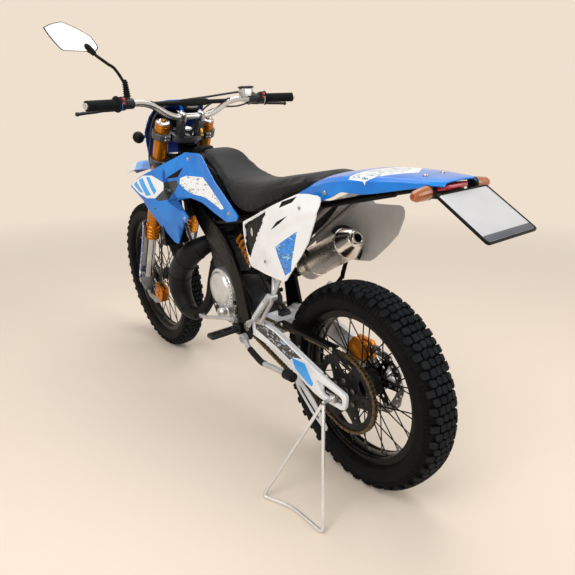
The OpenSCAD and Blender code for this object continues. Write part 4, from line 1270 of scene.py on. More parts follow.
def pillow(size, at, power=3.0, rows=14):
    """A rounded block, between an ellipsoid and a box, of the given half sizes."""
    bm = bmesh.new()
    bmesh.ops.create_uvsphere(bm, u_segments=rows * 2, v_segments=rows, radius=1)
    for v in bm.verts:
        n = sum(abs(c) ** power for c in v.co) ** (1 / power)
        v.co = Vector(c / n * s for c, s in zip(v.co, size))
    mesh = bpy.data.meshes.new("block")
    bm.to_mesh(mesh)
    bm.free()
    return moved(mesh, at)


lens_block = numbered(
    pillow((27, 44, 7.5), T((-277, 0, 921)) @ Matrix.Rotation(math.radians(9), 4, "Y"), 4), 0
)
lens_base = numbered(pillow((28, 40, 7), T((-268, 0, 912)) @ Matrix.Rotation(math.radians(9), 4, "Y"), 5), 1)
stalk_parts = []
for s in (1, -1):
    lamp_way = heading((-282, s * 70, 918), (-287, s * 134, 915))
    stalk_parts.append(
        numbered(
            moved(
                turned(
                    [
                        (0, 0), (7, 0), (6.2, 4), (6.2, 7), (7, 8), (6.2, 10), (6.2, 14), (7, 15), (6, 17),
                        (6, 34), (0, 34)
                    ],
                    20
                ),
                heading((-272, s * 42, 919), (-280, s * 80, 918))
            ),
            1
        )
    )
    stalk_parts.append(numbered(moved(turned([(0, 0), (10, 0), (15, 3), (16, 9), (0, 9)], 24), lamp_way), 1))
    stalk_parts.append(numbered(moved(turned([(12.9, 44), (12.6, 48), (8, 57), (0, 60)], 28), lamp_way), 2))
    stalk_parts.append(
        numbered(
            moved(turned([(0, 8.5), (15.2, 9), (15.4, 16), (14.2, 34), (12.4, 45), (0, 45)], 28), lamp_way), 2
        )
    )
fit(
    "rear_lights_lenses", joined(lens_block, lens_base, *stalk_parts), BIKE, "chassis",
    [red_lens, black_shell, amber_lens], "rear_lights"
)

plate_paint = plastic("blank plate enamel", "#c4c5c7", "#bbbcbf", 0.35, 0.3)
plate_band = plastic("plate band", "#4d535e", "#444a54", 0.4)


def rounded(x0, y0, x1, y1, r, steps=5):
    out = []
    for cx, cy, a in (
        (x1 - r, y1 - r, 0), (x0 + r, y1 - r, 90), (x0 + r, y0 + r, 180), (x1 - r, y0 + r, 270)
    ):
        out += [
            (
                cx + r * math.cos(math.radians(a + 90 * k / steps)),
                cy + r * math.sin(math.radians(a + 90 * k / steps))
            ) for k in range(steps + 1)
        ]
    return out


PLATE = T((-311, 0, 917)) @ Matrix.Rotation(math.radians(180 - 31.3), 4, "Y")
holder = sheet_metal([rounded(0, -86.5, 156, 86.5, 9)], 4.6, 1.4, T((0, 0, 2.4)))
rim_loop = sheet_metal(
    [rounded(0, -86.5, 156, 86.5, 9), rounded(4.5, -82, 151.5, 82, 6)], 2.4, 0.7, T((0, 0, -0.2))
)
blank = sheet_metal([rounded(5, -81.5, 151, 81.5, 6)], 1.6, 0.3, T((0, 0, 0.2)))
band = sheet_metal([rounded(134, -81, 150.5, 81, 3)], 0.6, 0.1, T((0, 0, -0.9)))
arm = moulding(
    [(-232, 932), (-246, 932), (-246, 905), (-306, 912), (-326, 902), (-330, 893), (-300, 898), (-232, 893)],
    lambda x, z: 0, 50
)
bracket = from_faces([], [])
bm = bmesh.new()
bm.from_mesh(arm)
thick = bmesh.ops.extrude_face_region(bm, geom=bm.faces[:])
bmesh.ops.translate(bm, verts=[v for v in thick["geom"] if isinstance(v, bmesh.types.BMVert)], vec=(0, 52, 0))
bmesh.ops.translate(bm, verts=bm.verts, vec=(0, -26, 0))
bm.to_mesh(bracket)
bm.free()
plate_parts = [numbered(holder, 0), numbered(rim_loop, 0), numbered(blank, 1), numbered(band, 2)]
plate_parts = [moved(p, PLATE) for p in plate_parts] + [numbered(bracket, 0)]
fit(
    "licence_plate_holder", joined(*plate_parts), BIKE, "chassis", [black_shell, plate_paint, plate_band],
    "licence_plate", bevel=0.6
)

# Seat --------------------------------------------------------------------------------------------
# Foam on a plastic base under stretched vinyl: dark grey grained top, black sides, sewn together
# along the shoulders. It climbs onto the tank in front and narrows to a rounded tip at the tail.


def vinyl(name, colour, lighter, roughness):
    """Embossed vinyl: a leather-like grain 3 mm across, drawn coarse enough to be seen."""
    finish, tree, skin, place = bare(name)
    cells = add(tree, "ShaderNodeTexVoronoi", {"Vector": place, "Scale": 420.0}, feature="DISTANCE_TO_EDGE")
    wear = add(tree, "ShaderNodeTexNoise", {"Vector": place, "Scale": 9.0, "Detail": 5.0})
    fac = add(tree, "ShaderNodeMapRange", {"Value": wear.outputs[0], "From Min": 0.35, "From Max": 0.65})
    shade = add(
        tree, "ShaderNodeMix", {0: fac.outputs[0], 6: linear(colour), 7: linear(lighter)}, data_type="RGBA"
    )
    grain = add(tree, "ShaderNodeMapRange", {"Value": cells.outputs[0], "From Min": 0.0, "From Max": 0.12})
    emboss = add(tree, "ShaderNodeBump", {"Height": grain.outputs[0], "Strength": 0.35, "Distance": 0.0006})
    wired(tree, skin, {
        "Base Color": shade.outputs[2],
        "Normal": emboss.outputs[0],
        "Roughness": roughness,
        "Sheen Weight": 0.08,
        "Specular IOR Level": 0.14,
    })
    return finish


seat_top = vinyl("grained grey seat vinyl", "#191b1e", "#23262a", 0.52)
seat_side = vinyl("smooth black seat vinyl", "#0c0d0e", "#131416", 0.42)
seat_ribs = [  # x, half width, top, bottom
    (757, 34, 955, 949), (740, 54, 963, 945), (712, 66, 962, 936), (680, 76, 954, 925), (640, 84, 929, 913),
    (600, 91, 905, 891),
    (560, 97, 888, 868), (510, 105, 879, 828), (470, 110, 877, 802), (420, 112, 879, 788),
    (360, 112, 886, 798), (300, 111, 896, 818),
    (240, 108, 905, 840), (180, 103, 914, 865), (130, 98, 922, 886), (90, 92, 926, 901), (66, 82, 926, 909),
]


def ring_faces(rows, sides, closed=False):
    """Quads between rows of points that each run round a ring."""
    return [
        (i * sides + k, i * sides + (k + 1) % sides, j * sides + (k + 1) % sides, j * sides + k)
        for i, j in [(i, (i + 1) % rows) for i in range(rows if closed else rows - 1)]
        for k in range(sides)
    ]


def seat_point(rib, t):
    x, w, top, low = rib
    a = t * math.pi * 2
    # A squared oval: flat below, crowned above, widest below the shoulder seam
    c, s = math.cos(a), math.sin(a)
    y = w * math.copysign(abs(c) ** 0.55, c)
    if s >= 0:
        z = low + (top - low) * (0.30 + 0.70 * s**0.55)
        y *= 1 - 0.16 * s**2
    else:
        z = low + (top - low) * 0.30 * (1 - abs(s) ** 0.5)
        y *= 1 - 0.10 * abs(s)
    return (x, y, z)


stations = between(seat_ribs, 3)
count = 40
verts = [seat_point(rib, k / count) for rib in stations for k in range(count)]
faces = ring_faces(len(stations), count)
faces += [tuple(range(count))[::-1], tuple((len(stations) - 1) * count + k for k in range(count))]
seat_mesh = from_faces(verts, faces)
seat_piece = fit("seat_cover", seat_mesh, BIKE, "chassis", [seat_side, seat_top])
# Foam swells against the stretched cover
remesh = seat_piece.modifiers.new("foam", "REMESH")
remesh.voxel_size = 0.006
shell = plain(seat_piece)
seat_piece.modifiers.clear()
seat_piece.data = shell
rest = [v.co.copy() for v in shell.vertices]
swell = seat_piece.modifiers.new("swell", "CLOTH")
swell.settings.use_pressure = True
swell.settings.uniform_pressure_force = 4
swell.settings.effector_weights.gravity = 0
for number in range(1, 15):
    scene.frame_set(number)
swollen = plain(seat_piece)
seat_piece.modifiers.clear()
scene.frame_set(1)
for v, start in zip(swollen.vertices, rest):
    shift = v.co - start
    # The base plate stays flat, and the cover is tacked along its lower edge
    limit = 0.006 if v.normal.z > -0.3 else 0.0
    v.co = start + shift * min(1, limit / max(shift.length, 1e-6))
seat_piece.data = swollen
upright = BIKE.inverted()
seam = [(x, top - 0.20 * (top - low) - 3) for x, w, top, low in seat_ribs]
seat_data = seat_piece.data
seat_data.materials.clear()
for finish in (seat_side, seat_top):
    seat_data.materials.append(finish)
bm = bmesh.new()
bm.from_mesh(seat_data)
for v in bm.verts:
    p = upright @ v.co
    # The sewn seam pulls a groove 6 mm wide into the shoulder
    away = abs(p.z - along(seam, p.x))
    if v.normal.z > -0.2 and away < 5:
        v.co -= v.normal * 0.0016 * (1 - away / 5)
for face in bm.faces:
    p = upright @ face.calc_center_median()
    face.material_index = 1 if p.z > along(seam, p.x) else 0
bm.to_mesh(seat_data)
bm.free()
seat_data.shade_smooth()
smooth_cover = seat_piece.modifiers.new("cover", "SUBSURF")
smooth_cover.levels = smooth_cover.render_levels = 1
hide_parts("seat")

# Frame -------------------------------------------------------------------------------------------
# Twin steel beams, pressed and welded to the steering head, with tube rails under the seat. All of
# it is sprayed satin black, with a pressed ridge along each beam.

frame_paint = metal(
    "satin black frame paint", "#08090a", "#050506", 0.3, (6, 6, 6), 0.1, metallic=0.0, shine=0.1
)


def sweep(points, radius, sides=16, steps=6, closed=False, squash=1.0):
    """Round bar or tube bent through points; each point may carry its own radius as a fourth number."""
    points = [tuple(p) if len(p) > 3 else (*p, radius) for p in points]
    if closed:
        points = points[-1:] + points + points[:2]
    path = between(points, steps) if steps > 1 else [Vector(p) for p in points]
    if closed:
        path = path[steps:-steps - 1]
    n = len(path)
    verts, up = [], None
    for i, spot in enumerate(path):
        ahead = path[(i + 1) % n] if closed else path[min(i + 1, n - 1)]
        behind = path[i - 1] if closed else path[max(i - 1, 0)]
        way = (ahead.to_3d() - behind.to_3d()).normalized()
        if up is None:
            up = way.orthogonal().normalized()
        up = (up - way * up.dot(way)).normalized()
        across = way.cross(up)
        for k in range(sides):
            a = 2 * math.pi * k / sides
            verts.append(spot.to_3d() + spot[3] * (math.cos(a) * up + squash * math.sin(a) * across))
    faces = ring_faces(n, sides, closed)
    if not closed:
        faces += [tuple(range(sides))[::-1], tuple((n - 1) * sides + k for k in range(sides))]
    return from_faces(verts, faces)


def bar(a, b, r, r2=None, sides=20, edge=0.8):
    """Turned bar between two points, its ends lightly chamfered."""
    length = (Vector(b) - Vector(a)).length
    r2 = r if r2 is None else r2
    edge = min(edge, r * 0.3, length * 0.3)
    return moved(
        turned(
            [(0, 0), (r - edge, 0), (r, edge), (r2, length - edge), (r2 - edge, length), (0, length)], sides
        ),
        heading(a, b)
    )


def side_plate(outline, y0, y1, bevel=1.0, holes=()):
    """Plate cut to an [x, z] outline, between two planes across the bike."""
    return sheet_metal([outline, *holes], y1 - y0, bevel, T((0, (y0 + y1) / 2, 0)) @ UPRIGHT)


def plan_plate(outline, z0, z1, bevel=1.0, holes=()):
    return sheet_metal([outline, *holes], z1 - z0, bevel, T((0, 0, (z0 + z1) / 2)))


def mirrored(*meshes):
    return [m for mesh in meshes for m in (mesh, flipped(mesh))]


beam_plan = [
    (400, 113.5), (520, 113.5), (580, 109), (640, 103), (750, 89), (860, 73), (930, 50), (975, 33), (1030, 24)
]
beam_cut = [
    (1006, 926), (977, 983), (935, 946), (890, 904), (801, 814), (730, 764), (660, 738), (600, 716),
    (548, 686), (508, 648), (480, 604), (458, 549), (444, 490),
    (428, 425), (423, 385), (441, 353), (504, 353), (504, 400), (503, 459), (516, 510), (540, 552),
    (578, 590), (632, 620), (700, 650), (790, 702), (880, 780), (935, 878),
]
rear_edge = [
    (423, 400), (444, 490), (458, 549), (480, 604), (508, 648), (548, 686), (600, 716), (660, 738),
    (730, 764), (801, 814), (890, 904), (1000, 1000)
]
front_edge = [
    (503, 353), (504, 459), (516, 510), (540, 552), (578, 590), (632, 620), (700, 650), (790, 702),
    (880, 780), (935, 878)
]


def beam_face(x, z):
    y = along(beam_plan, x)
    # Pressed ridge: the outer skin falls away towards both edges
    high = along(rear_edge, x) - z
    low = z - along(front_edge, x)
    if x > 505:
        y -= 4 * (1 - step(3, 12, high)) + 2.5 * (1 - step(0, 9, low))
        y -= 1.6 * step(24, 27, high) * (1 - step(29, 32, high))
    return y


for side, name in ((1, "left"), (-1, "right")):
    beam = thickened(moulding(beam_cut, beam_face, 8), 12)
    piece = fit(
        "frame_beam_" + name, beam if side > 0 else flipped(beam), BIKE, "chassis", frame_paint, "main_frame"
    )
    evened(piece)
tubes = []
for s in (1, -1):
    tubes += [
        sweep(
            [
                (684, s * 86, 716), (492, s * 83, 753), (300, s * 78, 790), (176, s * 74, 822),
                (52, s * 70, 854), (-54, s * 57, 877), (-160, s * 44, 900)
            ],
            8.5
        ),
        sweep([(545, s * 94, 560), (480, s * 72, 578), (430, s * 53, 590), (300, s * 53, 682)], 7.2),
        bar((-160, s * 44, 898), (-160, s * 44, 936), 6),
        bar((910, s * 40, 858), (910, s * 77, 858), 6),
        bar((540, s * 104, 458), (540, s * (56 if s > 0 else 79), 458), 8),
        bar((300, s * 79, 790), (300, s * (128 if s > 0 else 160), 790), 6),
        bar(
            (70 if s > 0 else 152, s * 72, 850 if s > 0 else 829),
            (70 if s > 0 else 152, s * (134 if s > 0 else 160), 850 if s > 0 else 838), 6
        ),
    ]
tubes += [
    bar((x, -w, z), (x, w, z), r)
    for x, z, w, r in [(644, 730, 94, 12), (498, 392, 103, 12), (52, 854, 70, 8), (300, 790, 78, 8)]
]
tubes.append(bar((330, -53, 661), (310, -72, 626), 7))
struts = joined(*[sweep([(302, s * 53, 681), (245, s * 53, 721), (60, s * 53, 852)], 8) for s in (1, -1)])
fit(
    "subframe_struts", struts, BIKE, "chassis",
    metal("grey sprayed strut", "#8e8c88", "#77757a", 0.4, metallic=0.3)
)
gusset = [(1004, 922), (976, 978), (905, 905), (860, 850), (905, 840), (940, 872)]
fit("frame_tubes", joined(*tubes, side_plate(gusset, -26, 26, 3)), BIKE, "chassis", frame_paint, "main_frame")
head_tube = turned(
    [
        (15.1, 686), (27, 686), (30, 688), (30, 696), (27.5, 698), (27.5, 755), (30, 757), (30, 765),
        (27, 767), (15.1, 767)
    ],
    40, ring=True
)
fit("steering_head", moved(head_tube, T((-63, 0, 0))), FORK, "chassis", frame_paint, "main_frame")

# Swingarm ----------------------------------------------------------------------------------------
# Box-section aluminium, sprayed silver, with torn black film along each arm, a blue film panel and
# the axle's adjuster block in its slot. It turns on a bolt through the frame.

arm_paint = metal("silver swingarm paint", "#f2f3f5", "#e4e6ea", 0.3, (5, 5, 5), 0.1, metallic=0.1)
bright_steel = metal("bright zinc", "#c2c3c4", "#8b8c8e", 0.3, (2, 2, 2), 0.15)
arm_film = printed("black film with torn silver print", "#121316", ["#d5dae0", "#4f9be0"], 0.07, 9, 0.55, 2.2)
arm_cut = [
    (-46, 345), (-51, 338), (-52, 328), (-48, 302), (-42, 294), (-30, 289), (60, 287.5), (92, 293),
    (206, 333), (330, 371), (403, 380), (403, 434),
    (345, 444), (282, 438), (143, 394), (60, 369),
]
slot_hole = [(-34, 304), (-34, 324), (-26, 330), (40, 340), (72, 343), (78, 338), (64, 318), (48, 305)]
arm_skin = side_plate(arm_cut, 101, 114, 3, [slot_hole])
arm_skin = stuck(
    arm_skin,
    [
        (1, [(392, 428), (392, 410), (284, 385), (206, 362), (191, 376), (143, 388), (282, 432), (345, 438)]),
        (2, [(196, 374), (130, 378), (92, 325), (100, 312), (118, 314), (180, 342)])
    ],
    2
)
arm_inner = side_plate(arm_cut[6:], 97, 102, 1)
parts = mirrored(arm_skin, numbered(arm_inner, 0))
parts += mirrored(
    numbered(
        side_plate([(402, 372), (450, 377), (474, 389), (474, 413), (452, 431), (402, 432)], 86, 106, 2), 0
    )
)
parts.append(numbered(side_plate([(336, 390), (335, 434), (396, 430), (397, 394)], -102, 102, 4), 0))
parts.append(numbered(bar((450, -87, 400), (450, 87, 400), 22), 0))
for s in (1, -1):
    parts.append(numbered(bar((450, s * 114, 400), (450, s * 120, 400), 11, sides=6), 3))
    parts.append(numbered(bar((450, s * 113, 400), (450, s * 115.5, 400), 15), 3))
    block = pillow((12.5, 3.5, 9), T((6, s * 111, 317)), 8, 8)
    parts.append(numbered(block, 3))
    parts.append(numbered(bar((16, s * 108, 318.5), (40, s * 108, 320), 3.2, sides=10), 3))
    parts.append(numbered(bar((-28, s * 108, 315), (-8, s * 108, 316), 3.2, sides=10), 3))
swingarm_finishes = [arm_paint, arm_film, cyan_film, bright_steel]
fit("swingarm_arms", joined(*parts), BIKE, "chassis", swingarm_finishes, "swingarm")
fit(
    "rear_axle_nut",
    moved(
        turned([(10.1, 0), (15, 0), (15, 3), (10.1, 3)], 6, ring=True),
        heading((0, 114.3, 316), (0, 120, 316))
    ),
    BIKE, "chassis", bright_steel
)

# Shock absorber ----------------------------------------------------------------------------------
# A damper under a powder-coated orange spring of five coils, on an alloy top mount; its gas cylinder
# beside it is not built.

spring_paint = metal("orange powder coat", "#f0951e", "#d97d10", 0.3, (4, 4, 4), 0.15, metallic=0.0)
damper_rod = metal("hard chrome rod", "#d9dadb", "#a6a8aa", 0.12)
low, top = Vector((384, 0, 434.3)), Vector((640, 0, 702))
way = (top - low).normalized()
STRUT = heading(low, top)
coils = 5.2
helix = []
for k in range(int(coils * 14) + 1):
    a = 2 * math.pi * k / 14
    helix.append((28.5 * math.cos(a), 28.5 * math.sin(a), 206 + 114 * k / (coils * 14), 5.8))
parts = [
    numbered(sweep(helix, 5.4, 10, 1), 0),
    numbered(
        turned(
            [
                (0, 8), (12, 8), (17, 14), (17, 30), (12, 34), (22, 60), (24, 194), (30, 196), (33, 198),
                (33, 203), (26, 205), (0, 205)
            ],
            32
        ),
        1
    ),
    numbered(turned([(0, 200), (21, 202), (21, 320), (0, 322)], 28), 2),
    numbered(
        turned([(0, 318), (26, 318), (33, 321), (33, 327), (24, 329), (22, 352), (18, 372), (0, 378)], 32), 1
    ),
]
parts = [moved(p, STRUT) for p in parts]
parts += [
    numbered(bar(low + Vector((0, -18, 0)), low + Vector((0, 18, 0)), 14), 1),
    numbered(bar((640, -16, 702), (640, 16, 702), 15), 1)
]
fit(
    "shock_and_spring", joined(*parts), BIKE, "chassis",
    [spring_paint, metal("black cast mount", "#121315", "#0b0c0d", 0.4, metallic=0.0, shine=0.3), damper_rod],
    "rear_shock"
)

# Engine ------------------------------------------------------------------------------------------
# Die-cast aluminium cases, sand-cast grain on the crankcase and smoother covers screwed on top: a
# finned magneto cover and a pump knob on the left, a clutch cover on the right, the cylinder above.

# The crankcase's dark tone is painted shade: aluminium, darkened for the shade it sits in behind the frame
shaded_case_alloy = metal("die-cast aluminium case, darkened as shade", "#4a4c50", "#303236", 0.5, (2, 2, 2), 0.6, 25, 0.85)
cover_alloy = metal("bead-blasted aluminium cover", "#dfe1e3", "#c6c9cc", 0.32, (1.5, 1.5, 1.5), 0.3, 30, 0.8)
hose_rubber = rubber("black hose rubber", "#17181a", "#222326", 2.0, 0.5)
crank_cut = [
    (529, 388), (540, 362), (562, 332), (600, 326), (690, 323), (760, 323), (790, 340), (811, 382),
    (812, 430), (805, 468), (784, 496), (758, 518),
    (700, 519), (604, 519), (570, 500), (530, 458), (527, 420),
]
inner_cut = [(x + (670 - x) * 0.06, z + (420 - z) * 0.06) for x, z in crank_cut]
cases = [
    numbered(side_plate(crank_cut, -40, 34, 4), 0),
    numbered(side_plate(inner_cut, 30, 54.5, 6), 0),
    numbered(side_plate(inner_cut, -77.5, -36, 7), 0),
    numbered(
        side_plate([(660, 518), (758, 518), (779, 588), (775, 600), (700, 606), (676, 560)], -50, 50, 5), 0
    ),
    numbered(
        side_plate([(697, 604), (784, 598), (798, 652), (775, 688), (722, 692), (704, 664)], -48, 48, 7), 0
    ),
]
for k in range(5):
    z = 612 + k * 16
    cases.append(
        numbered(
            side_plate(
                [
                    (x + (745 - x) * -0.04 + k * 3, zz)
                    for x, zz in [(694, z), (786, z - 8), (788, z - 4), (696, z + 4)]
                ],
                -51, 51, 1
            ),
            0
        )
    )
# Head studs and case screws
stud_places = [
    ((720 + dx, dy, 688 + dx * 0.05), (-0.2, 0, 1), (1, 0, 0), (0.9, 0.9, 1.4))
    for dx in (4, 44) for dy in (-30, 30)
]
ring_places = []
for k in range(9):
    a = math.radians(k * 40 + 10)
    x, z = 672 + 118 * math.cos(a), 421 + 84 * math.sin(a)
    ring_places.append(((x, 54.5, z), (0, 1, 0), (1, 0, 0), (0.8, 0.8, 1)))
    ring_places.append(((x, -77.5, z), (0, -1, 0), (1, 0, 0), (0.8, 0.8, 1)))
cases.append(numbered(set_items(head, stud_places + ring_places), 1))
# Clutch cover on the right, with the kick-start boss, and the coolant hose on the head
cases.append(numbered(bar((640, -60, 440), (640, -84, 440), 62, 56, 48, 5), 1))
cases.append(numbered(bar((745, -60, 400), (745, -82, 400), 38, 34, 40, 4), 1))
fit("engine_cases", joined(*cases), BIKE, "chassis", [shaded_case_alloy, cover_alloy], "engine")
hoses = [
    sweep([(770, 30, 688), (800, 40, 724), (850, 60, 760), (900, 84, 790)], 11),
    sweep([(700, -40, 440), (760, -60, 520), (840, -70, 600), (906, -90, 640)], 11),
    sweep([(690, 8, 660), (650, 6, 668), (600, 4, 664), (556, 2, 660)], 17, 20),
]
hoses.append(sweep([(905, 84, 800), (880, 44, 772), (850, 4, 742), (812, -20, 690)], 15))
hoses.append(pillow((52, 34, 42), T((842, 0, 736)), 4, 12))
hoses.append(pillow((30, 16, 46), T((900, 52, 756)), 4, 12))
fit("coolant_hoses", joined(*hoses), BIKE, "chassis", hose_rubber)
risers = [
    sweep([(986, y, 716), (968, y, 664), (934, y, 600), (896, y * 0.8, 548)], 6.5) for y in (46, 62, 78)
]
fit("silver_coolant_pipes", joined(*risers), BIKE, "chassis", bright_steel)

# Left cover: domed disc with short ribs round its rim, six screws and the pump's round knob
cover_parts = [
    moved(
        turned(
            [
                (0, 53), (18, 53), (45, 51), (58, 47), (63, 41), (66, 36), (75, 33), (78, 28), (78, 2),
                (74, 0), (0, 0)
            ],
            72
        ),
        heading((652, 55.4, 480), (652, 100, 480))
    ),
    moved(
        turned([(0, 62), (15, 62), (19, 58), (21, 50), (20, 38), (24, 34), (24, 2), (0, 2)], 40),
        heading((633, 55.4, 398), (633, 100, 398))
    ),
    side_plate(
        [(598, 372), (665, 372), (700, 408), (712, 470), (690, 520), (650, 545), (600, 520), (588, 450)],
        55.4, 66, 3
    ),
]
rib = pillow((2.6, 5, 7), Matrix.Identity(4), 6, 5)
rib.materials.append(cover_alloy)
rib_places = []
for k in range(15):
    a = math.radians(140 + k * 11)
    rib_places.append(
        (
            (652 + 68 * math.cos(a), 90, 480 + 68 * math.sin(a)), (math.cos(a), 0, math.sin(a)),
            (-math.sin(a), 0, math.cos(a)), (1, 1, 1)
        )
    )
cover_parts.append(set_items(rib, rib_places))
screw_places = [
    (
        (652 + 70 * math.cos(math.radians(k * 60 + 20)), 88, 480 + 70 * math.sin(math.radians(k * 60 + 20))),
        (0, 1, 0), (1, 0, 0), (0.75, 0.75, 1)
    ) for k in range(6)
]
cover_parts.append(set_items(head, screw_places))
fit("magneto_cover", joined(*cover_parts), BIKE, "chassis", cover_alloy, "engine_cover")

# Radiators: black painted aluminium cores with 3 mm fins between their tanks
fin_black = metal(
    "black radiator paint", "#0e0f10", "#08090a", 0.42, (3, 3, 3), 0.2, metallic=0.0, shine=0.14
)
fin = pillow((17, 44, 0.9), Matrix.Identity(4), 10, 4)
fin.materials.append(fin_black)
for s, name in ((1, "left"), (-1, "right")):
    core = [
        plan_plate([(904, s * 78), (938, s * 78), (938, s * 170), (904, s * 170)][::s], z0, z1, 2)
        for z0, z1 in ((612, 634), (810, 831))
    ]
    core += [plan_plate([(908, s * 80), (934, s * 80), (934, s * 168), (908, s * 168)][::s], 630, 814, 1)]
    core.append(
        set_items(fin, [((921, s * 124, 640 + 6.0 * k), (0, 0, 1), (1, 0, 0), (1, 1, 1)) for k in range(29)])
    )
    core += [bar((921, s * 168, 760), (921, s * 186, 760), 7), bar((910, s * 82, 828), (910, s * 82, 866), 6)]
    fit("radiator_" + name, joined(*core), BIKE, "chassis", fin_black, "radiators")

# Exhaust -----------------------------------------------------------------------------------------
# Two-stroke expansion chamber, welded up from rolled steel cones under matt heat paint, with a weld
# bead at each cone; then a brushed stainless silencer with rolled bands and a bright cone end.

pipe_paint = metal(
    "matt black heat paint", "#0f1011", "#151618", 0.46, (3, 3, 3), 0.25, 40, metallic=0.0, shine=0.16
)
route = [
    (779, 0, 579, 17), (806, 0, 570, 17), (846, 0, 520, 18), (862, 12, 450, 19), (852, 40, 372, 21),
    (885, 78, 316, 25), (955, 90, 324, 34),
    (1001, 92, 392, 44), (983, 92, 470, 47), (915, 90, 540, 46), (858, 62, 588, 41), (826, 0, 612, 30),
    (800, -72, 596, 20), (720, -136, 572, 15),
    (560, -138, 548, 14), (478, -122, 536, 14), (442, -106, 545.5, 16), (419, -106, 558.5, 16),
]
pipe = [sweep(route, 20, 36, 7)]
spine = between(route, 7)
for k in (14, 28, 35, 42, 49, 56, 63, 70, 77, 84, 91):
    p, q = spine[k].to_3d(), spine[k + 1].to_3d()
    r = spine[k][3]
    weld = [
        (r + 0.6 + 1.5 * math.sin(math.radians(a)), 2.4 * math.cos(math.radians(a)))
        for a in range(-30, 211, 40)
    ]
    pipe.append(moved(turned(weld, 40, ring=True), heading(p, q)))
fit("expansion_chamber", joined(*pipe), BIKE, "chassis", pipe_paint, "exhaust_pipe")

brushed = metal("brushed stainless steel", "#ded8d2", "#bdb5ad", 0.3, (40, 3, 3), 0.12, 90, 0.85)
polished = metal("polished stainless cone", "#e6e2dd", "#c9c3bc", 0.2, (30, 3, 3), 0.1, 90)
soot = metal("sooty outlet", "#0c0c0d", "#050505", 0.8, metallic=0.0)
a, b = Vector((418, -106, 559)), Vector((124, -104, 722))
l = (b - a).length
SILENCER = heading(a, b)
can = [
    numbered(
        moved(
            turned(
                [
                    (0, 0.3), (18, 0.3), (20, 4), (44, 50), (47, 54), (50.5, 56), (50.5, 62), (49, 64),
                    (49, l - 64), (50.5, l - 62), (50.5, l - 56), (48.5, l - 54.5)
                ],
                64
            ),
            SILENCER
        ),
        0
    ),
    numbered(
        moved(
            turned(
                [
                    (48.5, l - 54.5), (47.5, l - 49), (31, l - 13), (26, l - 9), (22.5, l - 8),
                    (22.5, l - 1.5), (21, l), (15.5, l), (14, l - 1.5)
                ],
                64
            ),
            SILENCER
        ),
        1
    ),
    numbered(moved(turned([(14, l - 1.5), (12.1, l - 69), (0, l - 69)], 32), SILENCER), 2),
    numbered(moved(turned([(49, 92), (51, 92.5), (51, 110.5), (49, 111)], 64), SILENCER), 0),
]
rivet = turned([(0, 1.6), (2, 1.3), (3, 0), (0, 0)], 10)
rivet.materials.append(polished)
places = []
for h in (68, l - 68):
    for k in range(8):
        t = math.radians(k * 45 + 10)
        out = SILENCER.to_3x3() @ Vector((math.cos(t), math.sin(t), 0))
        places.append(
            (
                SILENCER @ Vector((48.8 * math.cos(t), 48.8 * math.sin(t), h)), out,
                SILENCER.to_3x3() @ Vector((0, 0, 1)), (1, 1, 1)
            )
        )
can.append(numbered(set_items(rivet, places), 1))
# Rubber cushion round its outer side
axis = (b - a).normalized()
over = (Vector((0, 0, 1)) - axis * axis.z).normalized()
strap = [
    b - axis * 62 + (over * math.cos(math.radians(t)) - Vector((0, 1, 0)) * math.sin(math.radians(t))) * 56
    for t in range(-40, 156, 15)
]
can.append(numbered(sweep([tuple(p) for p in strap], 8, 2, 10), 3))
# Strap bolt under the band
can.append(numbered(bar(SILENCER @ Vector((34, 38, 101)), SILENCER @ Vector((42, 30, 101)), 6, sides=6), 1))
fit("silencer", joined(*can), BIKE, "chassis", [brushed, polished, soot, hose_rubber], "muffler")

# Airbox and tank ---------------------------------------------------------------------------------
# Blow-moulded black plastic: the airbox with the inner fender behind the shock, and the fuel tank,
# of which only the neck, its ribbed cap and the breather valve show between seat and shrouds.

box_cut = [
    (430, 548), (486, 614), (542, 690), (519, 738), (330, 800), (226, 832), (120, 838), (192, 769),
    (262, 716), (336, 626), (392, 570)
]
fit("airbox_shell", side_plate(box_cut, -43.5, 43.5, 6), BIKE, "chassis", black_shell, "airbox")
brass = metal("brass valve", "#c9a24a", "#98742c", 0.28)
tank_cut = [
    (902, 917), (905, 931), (860, 949), (775, 951), (756, 950), (690, 925), (640, 911), (562, 865),
    (562, 793), (640, 780), (735, 782), (801, 827), (890, 906)
]
tank = moulding(
    tank_cut, lambda x, z: along([(560, 84), (780, 91), (890, 66), (905, 46)], x) - 0.35 * max(0, z - 915), 12
)
tank = thickened(tank, 40)
evened(fit("fuel_tank_right", flipped(tank), BIKE, "chassis", black_shell, "fuel_tank"))
evened(fit("fuel_tank_left", tank, BIKE, "chassis", black_shell, "fuel_tank"))
deck = lofted(
    [
        Vector(p)
        for p in [
            (904, 46, 928), (885, 60, 940), (860, 70, 949), (820, 78, 951), (775, 80, 952), (740, 72, 945),
            (700, 68, 928)
        ]
    ],
    [-1, -0.8, -0.5, 0, 0.5, 0.8, 1], lambda s, t: (s[0], s[1] * t, s[2] - 9 * abs(t) ** 3)
)
walled(fit("fuel_tank_deck", deck, BIKE, "chassis", black_shell), 4)
cap_profile = [(0, 24), (10, 24), (12, 22), (26, 21), (33, 18), (34.5, 14), (34.5, 2), (31, 0), (0, 0)]
cap = [numbered(moved(turned(cap_profile, 48), T((838, 0, 949))), 0)]
grip_rib = pillow((1.6, 2.2, 8), Matrix.Identity(4), 5, 5)
grip_rib.materials.append(black_shell)
cap.append(
    numbered(
        set_items(
            grip_rib,
            [
                (
                    (838 + 34 * math.cos(math.radians(k * 15)), 34 * math.sin(math.radians(k * 15)), 958),
                    (0, 0, 1), (math.cos(math.radians(k * 15)), math.sin(math.radians(k * 15)), 0), (1, 1, 1)
                ) for k in range(24)
            ]
        ),
        0
    )
)
